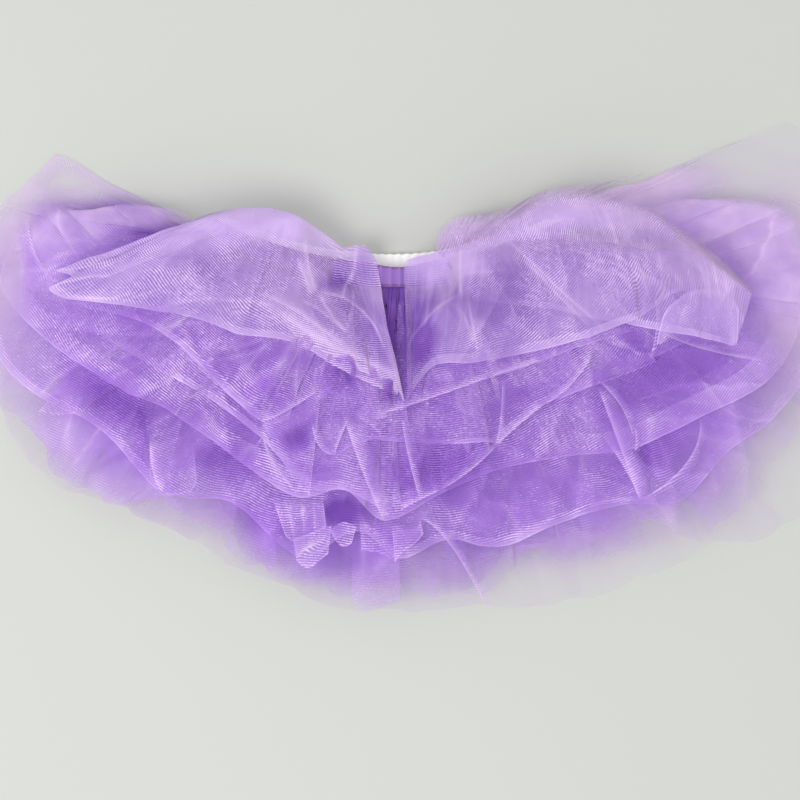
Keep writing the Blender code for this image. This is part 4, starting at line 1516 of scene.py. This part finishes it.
LEFT_CREASES = [
    Crease(-208, 60, -178, 63, -1, 2.6, 0.6, 0.2),
    Crease(-208, 50, -172, 55, 2, 2.6, 0.6, 0.2),
    Crease(-200, 44, -160, 45, -2, 3.2, 0.5, 0.2),
    Crease(-141, 37, -69, 37, 4, 5.2, 0.3, 0.33, 1.5),
    Crease(-57, 78, -50, 46, -1, -5.0, 0.6, 0.2),
    Crease(-63, 68, -54, 44, 1, 4.5, 0.5, 0.2),
    Crease(-50, 47, -32, 22, -1, 3.2, 0.6, 0.2),
    Crease(-50, 47, -8, 12, 8, 3.2, 0.55, 0.2),
    Crease(-83, 47, -34, 15, 2, 4.5, 0.55, 0.2),
    Crease(-60, 42, -33, 22, 2, 3.2, 0.45, 0.2),
    Crease(-27, 60, -36, 42, -1, 3.2, 0.5, 0.2),
    Crease(-28, 50, -34, 22, 1, 3.2, 0.4, 0.2),
    Crease(-16, 64, 3, -17, 3, 3.9, 0.5, 0.2),
    Crease(-78, 38, 0, -4, -3, 6.5, 0.4, 0.2),
    Crease(-26, 74, -29, 52, 0, 3.2, 0.5, 0.2),
    Crease(-66, 24, -33, 5, 2, 5.2, 0.15),
    Crease(-150, 65, -96, 29, 2, 10.4, 0.1, 0.28, 1.8),
    Crease(-126, 78, -69, 29, -2, 10.4, 0.1, 0.28, 1.8),
    Crease(-99, 85, -66, 61, 2, 7.8, 0.15),
    Crease(-186, 65, -156, 53, 2, 6.5, 0.15),
    Crease(-69, 93, -33, 65, 4, 6.5, 0.2, 0.39),
]
LEFT_PATCHES = [
    Patch(-36, 12, 42, 6, -30, 1.4, 0.4),
    Patch(-60, 72, 50, 10, -14, -0.3, -0.25),
    Patch(-19, 28, 14, 30, 22, -0.35, -0.6),
    Patch(-42, 36, 16, 14, -40, -0.2, -0.35),
    Patch(-40, 54, 11, 7, 0, 1.5, -0.8),
    Patch(-96, 84, 62, 11, 4, 2.4, 0.0),
    Patch(-15, 34, 46, 7, -77, 3.0, -0.2),
    Patch(-42, 74, 34, 6, -12, 1.6, 0.1),
    Patch(-150, 66, 40, 8, 36, 0.8, 0.2),
    Patch(-105, 55, 36, 14, -12, -0.15, -0.2),
    Patch(-60, 83, 16, 8, -30, 0.8, 0.05),
    Patch(-20, 66, 9, 12, 0, 1.0, -0.35),
]
FRONT_CREASES = [
    Crease(36, 74, 38, 44, -1, 3.9, 0.5, 0.5),
    Crease(38, 46, 3, 12, -5, 3.9, 0.3, 0.44),
    Crease(42, 42, 46, 7, 0, 2.6, 0.45, 0.44),
    Crease(38, 35, 44, 14, 0, 2.6, 0.3, 0.44),
    Crease(62, 79, 121, 24, 0, 3.2, 0.5, 0.44, 1.8),
    Crease(72, 67, 114, 24, 0, 3.2, 0.4, 0.39),
    Crease(24, 42, 63, 15, 2, 9.1, 0.1, 0.28, 1.8),
    Crease(96, 75, 144, 42, 3, 10.4, 0.1, 0.28, 1.8),
    Crease(120, 78, 150, 42, 2, 9.1, 0.1, 0.28),
    Crease(69, 83, 173, 74, 1, 2.2, 0.75, 0.44),
    Crease(18, 68, 12, 24, 2, 5.2, 0.15, 0.39),
    Crease(153, 72, 153, 42, 3, 6.5, 0.2),
]
FRONT_PATCHES = [
    Patch(9, 16, 12, 44, 0, -0.45, -0.6),
    Patch(62, 82, 46, 6, 14, 2.0, 0.15),
    Patch(63, 42, 26, 24, -30, 0.4, -0.4),
    Patch(103, 62, 30, 14, 0, 0.4, -0.35),
    Patch(114, 58, 5, 8, -20, 0.3, 0.35),
    Patch(22, 62, 28, 11, 6, 5.0, 0.3),
    Patch(18, 26, 18, 28, -12, 4.0, -0.55),
    Patch(60, 46, 34, 22, -20, 0.6, -0.25),
    Patch(100, 30, 30, 16, 24, 0.3, 0.15),
]
BACK_CREASES = [
    Crease(93, 105, 174, 42, 4, 9.1, 0.12, 0.33, 1.8),
    Crease(144, 98, 207, 48, 2, 5.2, 0.25, 0.39),
    Crease(156, 72, 204, 42, 2, 10.4, 0.1, 0.28, 1.8),
]
BACK_PATCHES = [
    Patch(84, 88, 30, 9, 14, 2.6, 0.0),
    Patch(110, 90, 26, 8, -4, 1.2, -0.2),
    Patch(123, 94, 46, 9, -6, 1.5, 0.15),
    Patch(180, 62, 28, 18, -40, 0.8, 0.4),
]
FLAP_CREASES = [
    Crease(174, 46, 166, 18, -2, 6.5, 0.25, 0.2),
]
TOP_TIER_Z = 18.0
TOP_FINE = (400, 96)
BARE_HALF = 34.0
ROLL_DROP = 0.3
ROLL_SHARE = 0.22
LOBE_FALL = 13
DROOP = 6
DROOP_FROM = 110
DROOP_OVER = 90
FLAP_BELOW = 9


def top_ply(rows, creases, patches, level, folds, hem_fold):
    """One ply of a top lobe: lower along its rolled edge, falling to its hem and its end."""
    lay = lay_out(rows, *TOP_FINE, hem_fold)
    rolled = np.clip(1 - lay.v / ROLL_SHARE, 0, 1) ** 2
    raised = net_height(lay.x, lay.y, level, TOP_TIER_Z, BARE_HALF) - TOP_TIER_Z
    drooping = np.clip((np.abs(lay.x) - DROOP_FROM) / DROOP_OVER, 0, 1) ** 2
    lay.z += TOP_TIER_Z + raised * (1 - ROLL_DROP * rolled) - LOBE_FALL * lay.v**2 - DROOP * drooping
    lay = gather(
        lay,
        [
            Gathers(23 + folds, 1.6, 0.0, 0.2, 0.25, 0.15),
            Gathers(9 + folds, 1.6, 0.0, 0.5, 0.5, 0.12),
            Gathers(folds, 1.5, 0.8, 1.4, 1.0, 0.1),
            Gathers(folds - 2, 1.3, 0.0, 0.3, 0.9, 0.2, 0.2),
            Gathers(folds + 1, 1.3, 0.0, 0.3, 0.9, 0.15, -0.25),
        ],
    )
    lay = loose_folds(crease(lay, creases), count=16, seed=int(10 * level) + 5, pale=0.16)
    lay = patch(lay, patches)
    return crumple(lay, size=12, lift=0.8, pale=0.2, start=4.0 + level)


def flap_height(x, y):
    """Height of the flap, which stands up between the right lobe's two plies."""
    return net_height(x, y, 4.1, TOP_TIER_Z, BARE_HALF) - FLAP_BELOW


top_net = net_material("top_net", LILAC_PALE, LILAC_LIT, LILAC_SHADED, rows=1.2)
lay = top_ply(TOP_LEFT, LEFT_CREASES, LEFT_PATCHES, level=4, folds=7, hem_fold=5.0)
left_lobe = net_piece("top_left_net", [lay], top_net, cover=0.27, pale=0.02, bow=(0.0, 200.0),
                      steep_painted_light=0.15)
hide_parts("top_tier_left")
declare([lay])

right_net = net_material("right_net", LILAC_PALE, LILAC_LIT, LILAC_SHADED, rows=0.9)
lay = top_ply(TOP_RIGHT_BACK, BACK_CREASES, BACK_PATCHES, level=4, folds=6, hem_fold=4.0)
lay.plies *= np.clip(lay.v / 0.1, 0.12, 1)
# Painted light along the rolled edge, which faces away from the window.
lay.pale += 0.4 * np.exp(-lay.v / 0.08)
right_back = net_piece("top_right_back", [lay], right_net, cover=0.27, pale=0.12, bow=(-10.0, 120.0),
                       steep_painted_light=0.15)
declare([lay])

lay = small_ply(RIGHT_FLAP, FLAP_CREASES, flap_height, fine=(120, 70), hem_fold=2.0, start=3.0)
lay.plies *= np.clip(lay.v / 0.6, 0, 1)
flap = net_piece("top_right_flap", [lay], top_net, cover=0.34, pale=0.1, bow=(60.0, 160.0))
declare([lay])

lay = top_ply(TOP_RIGHT_FRONT, FRONT_CREASES, FRONT_PATCHES, level=4.5, folds=6, hem_fold=5.0)
lay.plies *= np.clip((1 - lay.u) / 0.12, 0, 1) * np.clip(0.25 + lay.u / 0.07, 0, 1)
right_lobe = net_piece("top_right_net", [lay], right_net, cover=0.26, pale=-0.05, bow=(0.0, 160.0))
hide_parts("top_tier_right")
declare([lay])


# The surface that the skirt lies on, pale and plain, with soft light from a large window
# on the hem's side and a pale room, and the camera straight above.
FLOOR_WIDE = 12
FLOOR_PALE = (0.615, 0.625, 0.585)
ROOM_PALE = (0.97, 0.985, 1.0, 1.0)
ROOM_LIGHT = 0.84
WINDOW_PLACE = (-0.6, -0.35, 1.5)
WINDOW_WIDE = 0.9
WINDOW_LIGHT = 10.9
VIEW_WIDE = 480.0
VIEW_Y = -18.0
EYE_HIGH = 4.0
FRAMED_AT = 0.03
SENSOR = 36.0
SHEETS_SEEN_THROUGH = 48

bpy.ops.mesh.primitive_plane_add(size=FLOOR_WIDE)
ground = bpy.context.object
ground.name = "ground"
ground_material, tree, shader = start_material("ground", 0.9, 0.0)
mottle = put(tree, "ShaderNodeTexNoise", noise_dimensions="3D")
mottle.inputs["Scale"].default_value = 3.0
shade = tuple(0.97 * channel for channel in FLOOR_PALE)
tree.links.new(blend_colours(tree, mottle.outputs[0], shade, FLOOR_PALE), shader.inputs["Base Color"])
ground.data.materials.append(ground_material)

room = bpy.data.worlds.new("room")
room.use_nodes = True
room.node_tree.nodes["Background"].inputs["Color"].default_value = ROOM_PALE
room.node_tree.nodes["Background"].inputs["Strength"].default_value = ROOM_LIGHT
bpy.context.scene.world = room

lamp = bpy.data.lights.new("window", "AREA")
lamp.shape = "DISK"
lamp.size = WINDOW_WIDE
lamp.energy = WINDOW_LIGHT
window = bpy.data.objects.new("window", lamp)
window.location = WINDOW_PLACE
x, y, z = WINDOW_PLACE
window.rotation_euler = (math.atan2(math.hypot(x, y), z), 0.0, math.atan2(y, x) + math.pi / 2)
bpy.context.scene.collection.objects.link(window)

eye = bpy.data.cameras.new("eye")
eye.sensor_width = SENSOR
eye.lens = SENSOR * (EYE_HIGH - FRAMED_AT) / (VIEW_WIDE * MM)
eye.clip_end = 20.0
camera = bpy.data.objects.new("eye", eye)
camera.location = (0.0, VIEW_Y * MM, EYE_HIGH)
bpy.context.scene.collection.objects.link(camera)
bpy.context.scene.camera = camera
bpy.context.scene.view_settings.view_transform = "Standard"
bpy.context.scene.cycles.transparent_max_bounces = SHEETS_SEEN_THROUGH
